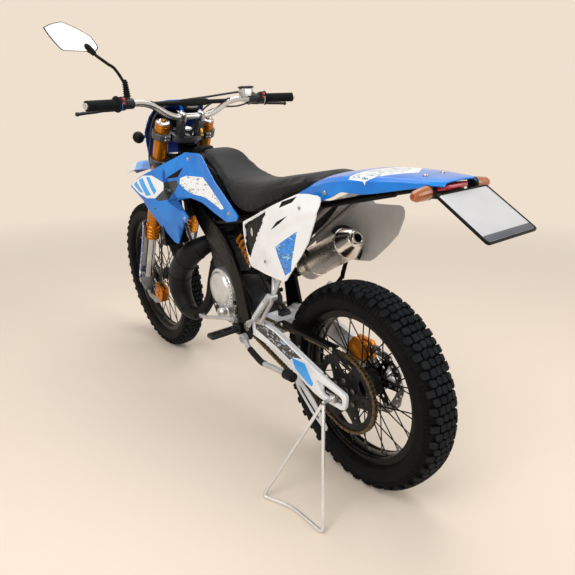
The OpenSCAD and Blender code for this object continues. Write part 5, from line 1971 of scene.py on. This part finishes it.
cap.append(numbered(sweep([(850, -6, 971), (855, -8, 985), (858, -10, 1004)], 3, 10), 0))
cap.append(
    numbered(
        moved(
            turned([(0, 0), (5, 0), (5, 8), (3.2, 9), (3.2, 12), (5.4, 13), (5.4, 24), (3, 28), (0, 28)], 20),
            T((858, -10, 1003))
        ),
        1
    )
)
fit("filler_cap", joined(*cap), BIKE, "chassis", [black_shell, brass])

# Guards and rear brake ---------------------------------------------------------------------------
# A black plastic bar over the chain, a silver guide fin below it with a slot, and the cast caliper,
# anodised orange, on its zinc bracket.

orange_anodised = metal("orange anodised alloy", "#e0891c", "#b2660f", 0.3, (3, 3, 3), 0.3, 40, 0.75)
silver_plastic = plastic("silver painted plastic", "#d3d5d8", "#c2c4c8", 0.35, 0.2)
guard = [
    numbered(
        side_plate(
            [
                (300, 446), (302, 451), (298, 456), (30, 452), (0, 436), (-38, 413), (-39, 408), (-32, 405),
                (34, 441), (60, 443), (181, 444), (184, 385), (205, 385), (210, 445)
            ],
            81.2, 85.5, 1.2
        ),
        0
    ),
    numbered(plan_plate([(30, 62), (300, 62), (300, 84), (30, 84)], 449, 454, 1), 0),
    numbered(
        side_plate(
            [
                (238, 336), (234, 290), (216, 250), (150, 192), (84, 152), (74, 157), (71, 168), (100, 206),
                (130, 240), (160, 262), (190, 283), (204, 318), (208, 330)
            ],
            81.2, 85.5, 1, [[(206, 262), (196, 262), (110, 190), (108, 178), (118, 180), (196, 244)]]
        ),
        1
    ),
]
guard.append(
    numbered(
        set_items(
            head,
            [
                ((x, 85.5, z), (0, 1, 0), (1, 0, 0), (0.9, 0.9, 0.9))
                for x, z in ((194, 400), (40, 447), (280, 451))
            ]
        ),
        2
    )
)
fit(
    "chain_guards", joined(*guard), BIKE, "chassis", [black_shell, silver_plastic, screw_steel], "chain_guard"
)
caliper_cut = [
    (21, 374), (34, 364), (84, 352), (98, 356), (115, 388), (112, 402), (90, 430), (30, 426), (24, 416)
]
caliper = [
    numbered(side_plate(caliper_cut, -80, -63, 4), 0), numbered(side_plate(caliper_cut, -53, -44, 3), 0)
]
caliper.append(numbered(side_plate([(70, 400), (92, 404), (86, 428), (66, 426)], -78, -46, 3), 0))
caliper += [numbered(bar((x, -72, z), (x, -84, z), 13), 0) for x, z in ((52, 392), (84, 390))]
caliper.append(
    numbered(
        side_plate(
            [(-22, 300), (-21, 335), (22, 372), (30, 399), (83, 384), (83, 352), (60, 326), (24, 301)], -85.4,
            -79, 1.5, [circle(0, 316, 10.2), circle(40, 350, 9)]
        ),
        1
    )
)
caliper += [numbered(bar((x, -79, z), (x, -88, z), 5, sides=6), 1) for x, z in ((34, 386), (76, 364))]
fit("rear_brake", joined(*caliper), BIKE, "chassis", [orange_anodised, bright_steel], "rear_caliper")

# Pegs, levers and stands -------------------------------------------------------------------------
# Cast footpegs with cut teeth, a silver gear lever with a folding tip, folded passenger pegs on bent
# tube, the side stand in its black sleeve, and the bright wire stand under the rear axle.

peg_black = metal("black cast peg", "#121315", "#1d1f22", 0.42, (2, 2, 2), 0.4, 30, metallic=0.0, shine=0.35)
tube_silver = metal("silver sprayed tube", "#c9cbce", "#a9abaf", 0.36, (4, 4, 4), 0.15, 60, 0.5)
pegs = []
tooth = turned([(0, 4), (1.2, 4), (2.6, 0), (0, 0)], 6)
tooth.materials.append(peg_black)
for s in (1, -1):
    pegs.append(
        side_plate(
            [(482, 359), (482, 393), (500, 395), (530, 393), (530, 367), (512, 358)],
            *((114.5, 125.5) if s > 0 else (-125.5, -114.5)), 2
        )
    )
    pegs.append(
        plan_plate(
            [
                (487, s * 125), (486, s * 222), (490, s * 229), (522, s * 229), (526, s * 222), (525, s * 125)
            ][::s],
            371, 384, 2,
            [
                [(495, s * 140), (495, s * 174), (517, s * 174), (517, s * 140)],
                [(495, s * 182), (495, s * 218), (517, s * 218), (517, s * 182)]
            ]
        )
    )
    pegs.append(
        set_items(
            tooth,
            [
                ((x, s * y, 383.5), (0, 0, 1), (1, 0, 0), (1, 1, 0.6))
                for y in range(132, 228, 8) for x in (489.5, 522.5)
            ]
        )
    )
    pegs.append(bar((506, s * 122, 377), (506, s * 134, 377), 9))
fit("footpegs_black", joined(*pegs), BIKE, "chassis", peg_black, "footpegs")
levers = []
for s in (1, -1):
    levers.append(numbered(bar((520, s * 114.5, 408), (520, s * 130, 408), 11), 0))
    levers.append(numbered(bar((520, s * 128, 408), (520, s * 133, 408), 6, sides=6), 1))
levers.append(
    numbered(
        sweep(
            [
                (520, 124, 408, 7.5), (580, 129, 398, 6.5), (640, 135, 384, 6.5), (690, 140, 372, 7),
                (722, 142, 368, 7.5), (745, 144, 366, 8)
            ],
            7, 16, 5
        ),
        0
    )
)
levers.append(numbered(bar((742, 130, 366), (742, 171, 366), 8.6), 2))
levers.append(numbered(bar((742, 124, 366), (742, 131, 366), 6), 1))
levers += [
    numbered(
        moved(
            turned([(8.4, 0), (9.2, 1), (9.2, 2.4), (8.4, 3.4)], 24), heading((742, y, 366), (742, 200, 366))
        ),
        2
    ) for y in (136, 143, 150, 157)
]
levers.append(
    numbered(
        sweep(
            [(520, -124, 408, 7.5), (610, -132, 372, 7), (660, -136, 356, 6.5), (700, -138, 352, 7)], 7, 16, 5
        ),
        0
    )
)
levers.append(numbered(plan_plate([(686, -167), (684, -122), (712, -122), (712, -167)], 347, 358, 2), 0))
fit(
    "foot_levers_silver", joined(*levers), BIKE, "chassis", [tube_silver, bright_steel, hose_rubber],
    "foot_levers"
)

hanger = [
    (329, 440), (331, 452), (337, 461), (352, 461), (400, 445), (440, 424), (444, 414), (438, 405),
    (424, 405), (404, 436)
]
pillion = [
    sweep([(318, 64, 669), (290, 94, 612), (262, 122, 557), (300, 122, 505), (340, 122, 453)], 7),
    sweep([(214, 64, 743), (238, 92, 650), (262, 122, 557)], 7),
    bar((262, 112, 557), (262, 136, 557), 12),
    side_plate(hanger, 114.5, 120, 1.2, [circle(382, 441, 6)]),
    side_plate(
        [(252, 566), (214, 672), (216, 678), (224, 678), (270, 568), (270, 550), (256, 550)], -162, -157.5, 1
    ),
    sweep([(262, -160, 560), (276, -156, 540), (304, -140, 500), (340, -122, 453)], 7),
    side_plate(hanger, -120, -114.5, 1.2),
]
pillion = [numbered(p, 1 if k in (4, 5, 6) else 0) for k, p in enumerate(pillion)]
pillion += [
    numbered(bar((266, 134, 562), (366, 134, 456), 10, 9), 0),
    numbered(bar((290, -131, 534), (354, -131, 462), 10, 9), 0)
]
ridge = turned([(9.6, 0), (11, 1.2), (11, 3), (9.6, 4.2)], 24)
ridge.materials.append(tube_silver)
pillion.append(
    numbered(
        set_items(
            ridge,
            [
                (
                    Vector((266, 134, 562)).lerp((366, 134, 456), 0.25 + 0.07 * k), Vector((100, 0, -106)),
                    (0, 1, 0), (1, 1, 1)
                ) for k in range(10)
            ]
        ),
        0
    )
)
fit("passenger_brackets", joined(*pillion), BIKE, "chassis", [tube_silver, frame_paint], "passenger_pegs")

side_leg = [
    numbered(bar((456, 115.5, 358), (456, 135.5, 358), 17), 0),
    numbered(bar((456, 133, 358), (456, 140, 358), 8, sides=6), 1),
    numbered(
        sweep(
            [
                (452, 126, 357), (445, 126, 355), (400, 138, 340), (322, 146, 324), (240, 151, 334),
                (166, 156, 343)
            ],
            9
        ),
        0
    ),
    numbered(
        sweep(
            [(400, 138, 340, 10.2), (361, 142, 331, 10.4), (322, 146, 324, 10.4), (300, 147.5, 326, 10.2)],
            10, 20
        ),
        2
    ),
    numbered(bar((172, 155, 343), (130, 158, 346), 16.6, 15), 2),
]
fit(
    "side_stand_leg", joined(*side_leg), BIKE, "side_stand_leg", [tube_silver, bright_steel, hose_rubber],
    "side_stand"
)

stand_wire = metal("bright steel wire", "#ededee", "#d0d1d3", 0.24, (2, 2, 2), 0.1, 60, 0.75)
apex = FLOOR.inverted() @ BIKE @ Vector((0, 152, 316))
root = FLOOR.inverted() @ BIKE @ Vector((0, 72, 316))


def bent(a, b, c, back):
    """A corner at b rounded off from a point that far before it to one as far after."""
    start, end = b.lerp(a, back / (b - a).length), b.lerp(c, back / (c - b).length)
    return [start.lerp(b, t).lerp(b.lerp(end, t), t) for t in (k / 6 for k in range(7))]


feet = [Vector(p) for p in ((96, 318, 5.5), (2, 280, 5.5), (-131, 277, 5.5))]
wire = [apex.lerp(feet[0], 0.02)] + bent(apex, feet[0], feet[1], 16) + bent(
    feet[0], feet[1], feet[2], 30
) + bent(feet[1], feet[2], apex, 16) + [feet[2].lerp(apex, 0.98)]
fit(
    "paddock_stand_wire",
    joined(sweep([tuple(p) for p in wire], 5.4, 20, 1), bar(root, apex + Vector((0, 2, 0)), 6)), FLOOR,
    "chassis", stand_wire, "paddock_stand"
)

# Fork --------------------------------------------------------------------------------------------
# Upside-down fork: gold anodised outer tubes in dark grey forged clamps, hard chrome inner tubes in
# cast grey feet, and white plastic guards with a dark blue printed edge.

gold_tube = metal("gold anodised tube", "#d4861c", "#ab640c", 0.26, (60, 3, 3), 0.1, 80, 0.75)
clamp_grey = metal("dark anodised clamp", "#63666b", "#4a4d52", 0.34, (2, 2, 2), 0.2, 40, 0.7)
cap_silver = metal("silver turned cap", "#cfd0d2", "#a5a7aa", 0.22, (2, 2, 2), 0.1)
foot_grey = metal("cast grey fork foot", "#7d8085", "#5c5f64", 0.45, (2, 2, 2), 0.5, 30, 0.7)
clamps = []
plan = [
    (-89, -24), (-91, 0), (-89, 24), (-74, 58), (-62, 64), (-12, 64), (-6, 58), (-18, 22), (-20, 0),
    (-18, -22), (-6, -58), (-12, -64), (-62, -64), (-74, -58)
]
pockets = [
    [(-84, -14), (-84, 14), (-74, 36), (-70, 20), (-74, 0), (-70, -20), (-74, -36)],
    [(-52, 34), (-62, 54), (-22, 54), (-32, 34)], [(-52, -34), (-62, -54), (-22, -54), (-32, -34)]
]
for w0, w1 in ((656, 684), (769, 797)):
    clamps.append(plan_plate(plan, w0 + 1, w1 - 9, 2, [circle(-63, 0, 15.2, 32)]))
    clamps.append(plan_plate(plan, w1 - 10, w1 - 1, 1.5, [circle(-63, 0, 15.2, 32), *pockets]))
    for s in (1, -1):
        clamps.append(
            moved(
                turned(
                    [(27.2, w0), (34, w0), (36, w0 + 2), (36, w1 - 2), (34, w1), (27.2, w1)], 48, ring=True
                ),
                T((-35, s * 92, 0))
            )
        )
        for w in (w0 + 8, w1 - 8):
            clamps.append(bar((-68, s * 74, w), (-68, s * 92, w), 7))
clamps = [numbered(c, 0) for c in clamps]
for s in (1, -1):
    clamps.append(plan_plate([(-88, s * 27), (-88, s * 49), (-58, s * 49), (-58, s * 27)][::s], 794, 862, 3))
    clamps.append(
        moved(
            side_plate(
                [(-92, 860), (-90, 886), (-76, 889), (-62, 886), (-60, 860)], -10.5, 10.5, 3,
                [circle(-76, 874, 11.1, 32)]
            ),
            T((0, s * 38, 0))
        )
    )
    numbered(clamps[-2], 0)
    numbered(clamps[-1], 1)
clamps.append(numbered(bar((-63, 0, 674), (-63, 0, 797), 15), 1))
clamps.append(numbered(bar((-63, 0, 796), (-63, 0, 816), 17, sides=6), 1))
clamps.append(
    numbered(moved(turned([(15.2, 0), (21, 0), (21, 3), (15.2, 3)], 40, ring=True), T((-63, 0, 795))), 1)
)
for s in (1, -1):
    for u in (-87, -65):
        clamps.append(numbered(bar((u + 0.5, s * 38, 884), (u + 0.5, s * 38, 889), 4.5, sides=12), 1))
    clamps += [
        numbered(bar((-68, s * 92, w), (-68, s * 96, w), 5, sides=12), 1) for w in (664, 676, 777, 789)
    ]
fit("steering_clamps", joined(*clamps), FORK, "front_end", [clamp_grey, cap_silver], "triple_clamps")

legs = []
for s in (1, -1):
    leg = [
        numbered(turned([(0, 839), (14, 839), (16, 837), (24, 836), (25.5, 834), (25.5, 830)], 48), 2),
        numbered(turned([(25.5, 830), (27, 829), (27, 824), (26, 823)], 48), 0),
        numbered(turned([(0, 836.5), (9, 836.5), (9, 843), (7, 844), (0, 844)], 6), 4),
        numbered(turned([(26, 823), (26.8, 822), (26.8, 362), (26, 358)], 48), 0),
        numbered(
            turned(
                [
                    (26, 358), (29, 356), (30.4, 353), (30.4, 344), (28.4, 342), (28.4, 338), (30.4, 336),
                    (30.4, 328), (28.4, 326), (28.4, 322), (30.4, 320), (30.4, 312), (28.4, 310), (28.4, 306),
                    (30.4, 304), (30.4, 292), (26, 290), (20, 290)
                ],
                48
            ),
            0
        ),
        numbered(turned([(20, 292), (20, 48)], 48), 1),
        numbered(
            side_plate(
                [(-54, -22), (-48, -24), (-6, -24), (0, -18), (0, 34), (-12, 50), (-42, 50), (-55, 30)], -17,
                17, 4
            ),
            3
        ),
        numbered(turned([(26, 12), (26, 52), (24, 60), (20, 62)], 40), 3),
    ]
    leg[6] = moved(leg[6], T((35, 0, 0)))
    legs += [moved(p, T((-35, s * 92, 0))) for p in leg]
fit(
    "fork_legs", joined(*legs), FORK, "front_end",
    [gold_tube, damper_rod, cap_silver, foot_grey, orange_anodised], "fork_tubes"
)

guard_mark = printed("dark blue print on white", "#1b3f9a", ["#f3f5f8"], 0.06, 6)
guards = []
rows = between([(50.5, 1.0), (120, 1.0), (220, 0.98), (300, 1.0), (350, 1.04)], 8)
edge_points = [(35, -26), (38, -12), (38.4, 4), (35, 20), (28, 32), (15, 38.6), (0, 40)]
for s in (1, -1):
    shell = lofted(
        rows, range(len(edge_points)), lambda row,
        k: (-35 + edge_points[k][0] * row[1], s * (92 + edge_points[k][1] * row[1]), row[0])
    )
    for face in shell.polygons:
        u, y, w = face.center
        face.material_index = 1 if (u < -22 and w > 90) or w < 70 + 0.4 * (u + 35) or (
            w > 322 and u > -12
        ) else 0
    guards.append(shell)
guard_piece = fit(
    "fork_guard_shells", joined(*guards), FORK, "front_end", [white_shell, guard_mark], "fork_guards"
)
walled(guard_piece, 3)
guard_piece.modifiers["wall"].offset = 0
axle = [
    bar((0, -114, 0), (0, 114, 0), 8), bar((0, 108, 0), (0, 113.8, 0), 13, sides=6),
    bar((0, -109, 0), (0, -113.6, 0), 12, sides=32)
]
fit("front_axle_bolt", joined(*axle), FORK, "front_end", bright_steel, "front_axle")
front_cut = [(-146, -24), (-138, -34), (-82, -34), (-70, -20), (-70, 30), (-82, 46), (-130, 46), (-146, 30)]
brake = [
    numbered(side_plate(front_cut, 60, 73.5, 4), 0), numbered(side_plate(front_cut, 38, 50, 4), 0),
    numbered(
        side_plate([(-146, -24), (-146, 30), (-136, 40), (-128, 36), (-128, -28), (-136, -33)], 40, 72, 3), 0
    )
]
brake += [numbered(bar((-104, 70, w), (-104, 78, w), 15), 0) for w in (-12, 24)]
brake.append(
    numbered(
        side_plate(
            [(-92, -14), (-92, 36), (-32, 36), (-30, 10), (-32, -14)], 64, 74.5, 2, [circle(-62, 10, 10)]
        ),
        1
    )
)
brake += [numbered(bar((-80, 62, w), (-80, 78, w), 5.5, sides=6), 1) for w in (-4, 26)]
fit("front_brake", joined(*brake), FORK, "front_end", [orange_anodised, bright_steel], "front_caliper")

# Front fender and mask ---------------------------------------------------------------------------
# Injection-moulded sheets 3 mm thick: a white and blue fender over the tyre, and a blue mask with printed
# stripes round a clear lamp. The undersides of both take a dark blue that paints the shade under them.

# A darker copy of the blue plastic: painted shade for the undersides of the fender and the mask
shade_painted_blue = plastic("dark blue underside", "#173a9c", "#102c80", 0.4, 0.2)
spine_line = [
    (1034, 896, 30), (1050, 907, 34), (1077, 919, 42), (1150, 908, 57), (1250, 902, 60), (1360, 894, 54),
    (1450, 884, 46), (1530, 864, 39), (1596, 830, 24)
]
under = [
    (1034, 884), (1077, 882), (1130, 872), (1240, 868), (1330, 862), (1450, 848), (1560, 826), (1602, 818)
]


def fender_point(row, t):
    x, z, half = row
    drop = (z - along(under, x)) * (0.15 * abs(t) ** 2 + 0.8 * step(0.62, 1.0, abs(t)))
    return (x, half * t, z - 2 - drop + 2.5 * math.exp(-((abs(t) - 0.36) / 0.1) ** 2))


fender = lofted(between(spine_line, 5), [k / 12 for k in range(-12, 13)], fender_point)
fender = stuck(
    fender,
    [
        (1, [(1340, 70), (1340, -70), (1440, -70), (1420, 0), (1440, 70)]),
        (2, [(1440, 70), (1420, 0), (1440, -70), (1610, -70), (1610, 70)])
    ],
    1
)
fender_piece = fit(
    "front_fender_shell", fender, BIKE, "front_end",
    [blue_shell, cyan_film, white_shell, shade_painted_blue, shade_painted_blue, shade_painted_blue], "front_fender"
)
# The fender's inner faces take the dark blue of painted shade
walled(fender_piece, 3, 3)
fit(
    "fender_bolts",
    set_items(
        head,
        [
            ((1128, s * 30, 910), (0, 0, 1), (1, 0, 0), (1, 1, 1)) for s in (1, -1)
        ] + [((1190, s * 26, 907), (0, 0, 1), (1, 0, 0), (1, 1, 1)) for s in (1, -1)]
    ),
    BIKE, "front_end", screw_steel
)

front_line = [(664, 16), (690, 92), (712, 128), (750, 121), (790, 112), (832, 82), (872, 50)]
back_line = [(664, 12), (690, 34), (730, 62), (760, 58), (800, 42), (862, 22), (872, 26)]


def mask_point(w, t):
    f, b = along(front_line, w), along(back_line, w)
    k = abs(t)
    y = along([(0, 0), (0.3, 40), (0.65, 86), (1, 114)], k) * (1 - 0.12 * step(810, 872, w))
    u = f - (f - b) * along([(0, 0), (0.3, 0.03), (0.65, 0.34), (1, 1)], k)
    return (u, y if t > 0 else -y, w)


rows = [664 + 208 * k / 22 for k in range(23)]
mask = lofted(rows, [k / 14 for k in range(-14, 15)], mask_point)
mask = stuck(
    mask,
    [
        (1, [(150, 706), (60, 706), (40, 716), (150, 722)]),
        (1, [(150, 734), (40, 760), (36, 772), (150, 748)]),
        (2, [(150, 800), (30, 820), (20, 850), (150, 830)])
    ],
    2, lambda c: abs(c.y) > 46 or c.z < 712 or c.z > 792
)
mask_piece = fit(
    "mask_shell", mask, FORK, "front_end",
    [blue_shell, white_film, white_shell, shade_painted_blue, shade_painted_blue, shade_painted_blue], "headlight_mask"
)
# The mask's inner faces take the dark blue of painted shade
walled(mask_piece, 3, 3)
lens = acrylic("clear lamp lens", "#e9eef2", "#cfd8df")
LAMP = heading((100, 0, 752), (200, 0, 731))
lamp = [
    numbered(moved(turned([(0, 22), (30, 19), (46, 10), (50, 2), (50, -4)], 56), LAMP), 0),
    numbered(moved(turned([(50, 3), (55, 2), (56, -2), (50, -38), (26, -58), (0, -60)], 56), LAMP), 1),
]
lamp += [numbered(bar((3, s * 88, 783), (50, s * 101, 800), 5), 1) for s in (1, -1)]
fit("lamp", joined(*lamp), FORK, "front_end", [lens, black_shell])
balls = []
for s in (1, -1):
    ball_way = T((1152, s * 118, 1001)) @ Matrix.Rotation(math.radians(90), 4, "Y")
    balls.append(
        numbered(
            moved(turned([(0, 22.8), (6, 22), (13, 19), (19, 13), (22.2, 5), (22.8, 0)], 36), ball_way), 1
        )
    )
    balls.append(
        numbered(
            moved(
                turned([(22.8, 0), (23, -2), (22, -8), (19, -13), (13, -19), (6, -22), (0, -22.8)], 36),
                ball_way
            ),
            0
        )
    )
    balls.append(
        numbered(sweep([(1130, s * 96, 1003), (1139, s * 104, 1002), (1148, s * 114, 1001)], 6, 16), 0)
    )
fit("front_indicator_balls", joined(*balls), BIKE, "front_end", [black_shell, amber_lens], "front_indicators")

# Handlebar and controls --------------------------------------------------------------------------
# Polished tapered alloy bar with a black cross brace and a small gauge; ribbed rubber grips, black
# cast perches and levers with ball ends, a silver fluid reservoir, and the cables running down.

bar_silver = metal("polished alloy bar", "#d6d7d9", "#b4b6b9", 0.2, (3, 3, 3), 0.08, 80, 0.85)
lever_black = metal("black coated lever", "#1f2023", "#2b2d30", 0.35, (2, 2, 2), 0.15, 30, 0.5)
grip_rubber = rubber("grip rubber", "#141517", "#1e1f22", 1.6, 0.6)
button_red = plastic("red button", "#c3262c", "#a81d22", 0.35)
gauge_face = metal("grey display glass", "#8d9690", "#77807a", 0.12, metallic=0.0)
bar_table = [
    (0, 0, 0), (50, 0, 0), (62, 0, 0), (98, -5, 12), (146, -12, 40), (192, -22, 52), (240, -36, 52),
    (296, -54, 51), (352, -71, 50), (408, -88, 49)
]


def on_bar(y):
    s = 1 if y > 0 else -1
    dx = along([(t[0], t[1]) for t in bar_table], abs(y))
    dz = along([(t[0], t[2]) for t in bar_table], abs(y))
    return Vector((903.5 + dx, y, 1073.3 + dz))


def from_boss(a, b, r, r2=None, edge=1.0):
    return bar(on_bar(a), on_bar(b), r, r2, 28, edge)


bar_r = 10.8
line = [on_bar(-t[0]) for t in bar_table[:0:-1]] + [on_bar(t[0]) for t in bar_table]
rod = sweep([tuple(p) + (bar_r,) for p in line], bar_r, 28, 5)
cross_z = 1120.3
brace = [numbered(bar((891.5, -170, cross_z), (891.5, 170, cross_z), 8, sides=24), 1)]
for s in (1, -1):
    brace.append(numbered(bar((891.5, s * 152, cross_z), (891.5, s * 170, cross_z), 11, sides=24), 1))
    brace.append(numbered(sweep([(891.5, s * 161, cross_z), tuple(on_bar(s * 161))], 8, 16, 3), 1))
gauge_tilt = Matrix.Rotation(math.radians(35), 4, "Y")
gauge = [
    numbered(pillow((12, 30, 19), T((938, -18, 1104)) @ gauge_tilt, 7, 10), 1),
    numbered(pillow((1.6, 22, 13), T((928.4, -18, 1110.8)) @ gauge_tilt, 9, 6), 2),
    numbered(side_plate([(944, 1070), (950, 1110), (968, 1112), (960, 1064)], -48, 14, 1.5), 3),
    numbered(pillow((9, 60, 13), T((893, -10, 1120.5)), 5, 10), 1),
]
fit(
    "handlebar_and_gauge", joined(numbered(rod, 0), *brace, *gauge), BIKE, "front_end",
    [bar_silver, black_shell, gauge_face, blue_shell], "handlebar"
)

rubber_parts = []
for s in (1, -1):
    grip_way = heading(on_bar(s * 290), on_bar(s * 411))
    profile = [(11, 0), (25, 0), (26, 1.5), (26, 4.5), (24, 6), (17, 7), (15.6, 10)]
    h = 10
    while h < 104:
        profile += [(15.6, h + 0.6), (16.6, h + 1.4), (16.6, h + 4.2), (15.6, h + 5)]
        h += 6.2
    profile += [(16.4, 107), (16.8, 110), (16.4, 117), (13, 118), (0, 118)]
    rubber_parts.append(numbered(moved(turned(profile, 36), grip_way), 0))
    rubber_parts.append(
        numbered(
            moved(turned([(11, -4), (22, -4), (23, -3), (23, 0.5), (11, 0.5)], 36), grip_way),
            1 if s > 0 else 2
        )
    )
fit("grip_rubbers", joined(*rubber_parts), BIKE, "front_end", [grip_rubber, cyan_film, bar_silver], "grips")

control = []
for s in (1, -1):
    control.append(numbered(from_boss(s * 233, s * 263, 17.6), 0))
    control.append(
        numbered(
            sweep([(866, s * 248, 1124, 9), (892, s * 255, 1118, 9.4), (918, s * 262, 1110, 9)], 9, 18), 0
        )
    )
    control.append(numbered(bar((866, s * 248, 1126), (866, s * 248, 1146), 9), 0))
    control.append(
        numbered(
            sweep(
                [
                    (914, s * 250, 1111, 7.5), (918, s * 290, 1108, 7), (912, s * 322, 1107, 6.3),
                    (906, s * 350, 1104, 6), (895, s * 388, 1102, 6), (887, s * 412, 1100, 6)
                ],
                6, 16, 6, squash=0.75
            ),
            0
        )
    )
    control.append(numbered(pillow((7.2, 7.2, 7.2), T((886.5, s * 414, 1100)), 2, 12), 0))
    control.append(numbered(from_boss(s * 266, s * 287, 21, edge=3), 0))
    control.append(numbered(bar((918, s * 262, 1103), (918, s * 262, 1118), 6.5), 3))
    p = on_bar(s * 276)
    control.append(numbered(pillow((12, 9.5, 15), T(p + Vector((-14, 0, 8))), 6, 8), 0))
    control.append(numbered(bar(p + Vector((-24, 0, 14)), p + Vector((-30, 0, 15)), 4.5), 1))
    control.append(numbered(bar(p + Vector((-24, 0, 2)), p + Vector((-29, 0, 2)), 4), 1))
# Brake fluid reservoir on the right perch, its black lid held by two screws
control.append(numbered(pillow((18, 25, 17), T((872, -224, 1146)), 7, 10), 2))
control.append(numbered(pillow((19.5, 26.5, 4.5), T((872, -224, 1165)), 8, 8), 0))
control += [numbered(bar((872, y, 1168), (872, y, 1171), 3, sides=12), 3) for y in (-208, -240)]
control.append(numbered(sweep([(888, -246, 1128, 9), (904, -232, 1118, 9)], 9, 20), 2))
fit(
    "levers_and_switches", joined(*control), BIKE, "front_end",
    [lever_black, button_red, bar_silver, bright_steel], "hand_controls"
)

cable_skin = plastic("black cable sheath", "#141517", "#1c1d20", 0.4, 0.1)
cables = []
for ends in (
    [
        (918, 262, 1110), (944, 226, 1122), (958, 170, 1128), (954, 110, 1108), (980, 66, 1060),
        (1004, 34, 1006), (1022, 8, 950)
    ],
    [
        (906, 240, 1112), (936, 200, 1118), (948, 140, 1110), (954, 86, 1078), (984, 48, 1040),
        (1008, 16, 996), (1026, -6, 946)
    ],
    [
        (902, -256, 1116), (944, -214, 1120), (962, -150, 1122), (960, -90, 1100), (984, -48, 1050),
        (1006, -26, 996), (1022, -18, 950)
    ],
    [
        (890, -272, 1118), (930, -220, 1100), (950, -150, 1098), (956, -84, 1078), (990, -60, 1020),
        (1010, -40, 976), (1024, -32, 942)
    ],
):
    cables.append(sweep(ends, 3.2, 12, 6))
fit("control_cables", joined(*cables), BIKE, "front_end", cable_skin)
hose_line = [
    (-68, -238, 958.5), (-34, -205, 938), (10, -110, 900), (22, 0, 880), (14, 84, 850), (4, 114, 800),
    (4, 114, 720), (5, 113, 650), (10, 84, 570), (0, 61, 500), (-28, 57, 420), (-34, 56, 330), (-60, 57, 250),
    (-92, 62, 150), (-106, 65, 90), (-108, 66, 46.3)
]
fit("brake_hose", sweep(hose_line, 4, 14, 6), FORK, "front_end", cable_skin, "brake_hoses")

# Mirror ------------------------------------------------------------------------------------------
# Silvered glass in a thin black shell on a bent stem, with a pleated rubber boot at its foot.

silvered = metal("silvered mirror glass", "#fbfcfd", "#f3f5f7", 0.22, bump=0.0, metallic=0.35)
stem = [
    (866, 248, 1146), (866, 248, 1168), (872, 252, 1196), (882, 270, 1234), (888, 287, 1248),
    (892, 304, 1262), (899, 317, 1274), (904, 326, 1286)
]
boot = [(11, 0)]
for k in range(7):
    boot += [
        (12.4 - 0.5 * k, 2 + 7 * k), (12.4 - 0.5 * k, 4.5 + 7 * k), (9.4 - 0.45 * k, 5.8 + 7 * k),
        (9.4 - 0.45 * k, 7.4 + 7 * k)
    ]
boot.append((5, 54))
outline = [
    (462, 1352), (440, 1362), (412, 1368.2), (398, 1366.8), (362, 1352), (328, 1333), (318, 1322),
    (307, 1304), (308, 1294), (320, 1287), (370, 1287), (414, 1289), (426, 1297), (448, 1326)
]
smooth_loop = [tuple(v) for v in between([Vector(p) for p in outline + outline[:1]], 4)][:-1]
middle = (388, 1328)
face = lambda k: [(middle[0] + (y - middle[0]) * k, middle[1] + (z - middle[1]) * k) for y, z in smooth_loop]
rings = [
    (901.4, 0.965), (900.3, 0.985), (901.6, 1.0), (908, 1.0), (916, 0.93), (921, 0.75), (923.6, 0.4),
    (924, 0.02)
]
verts = [(x, y, z) for x, k in rings for y, z in face(k)]
n = len(smooth_loop)
shell = from_faces(verts, ring_faces(len(rings), n))
glass = from_faces(
    [(902.2 + 1.2 * (1 - k), y, z) for k in (0.97, 0.6, 0.25) for y, z in face(k)] + [(903.2, *middle)],
    ring_faces(3, n) + [(2 * n + k, 2 * n + (k + 1) % n, 3 * n) for k in range(n)]
)
mirror_parts = [
    numbered(shell, 0), numbered(glass, 1), numbered(sweep(stem, 5, 18, 6), 0),
    numbered(
        sweep([(902, 320, 1278, 8), (905, 328, 1288, 10), (910, 340, 1300, 12), (914, 350, 1308, 8)], 9, 20),
        0
    ),
    numbered(moved(turned(boot, 28), T((866, 248, 1146))), 2)
]
fit(
    "mirror", joined(*mirror_parts), BIKE, "front_end", [black_shell, silvered, grip_rubber],
    "rear_view_mirror"
)
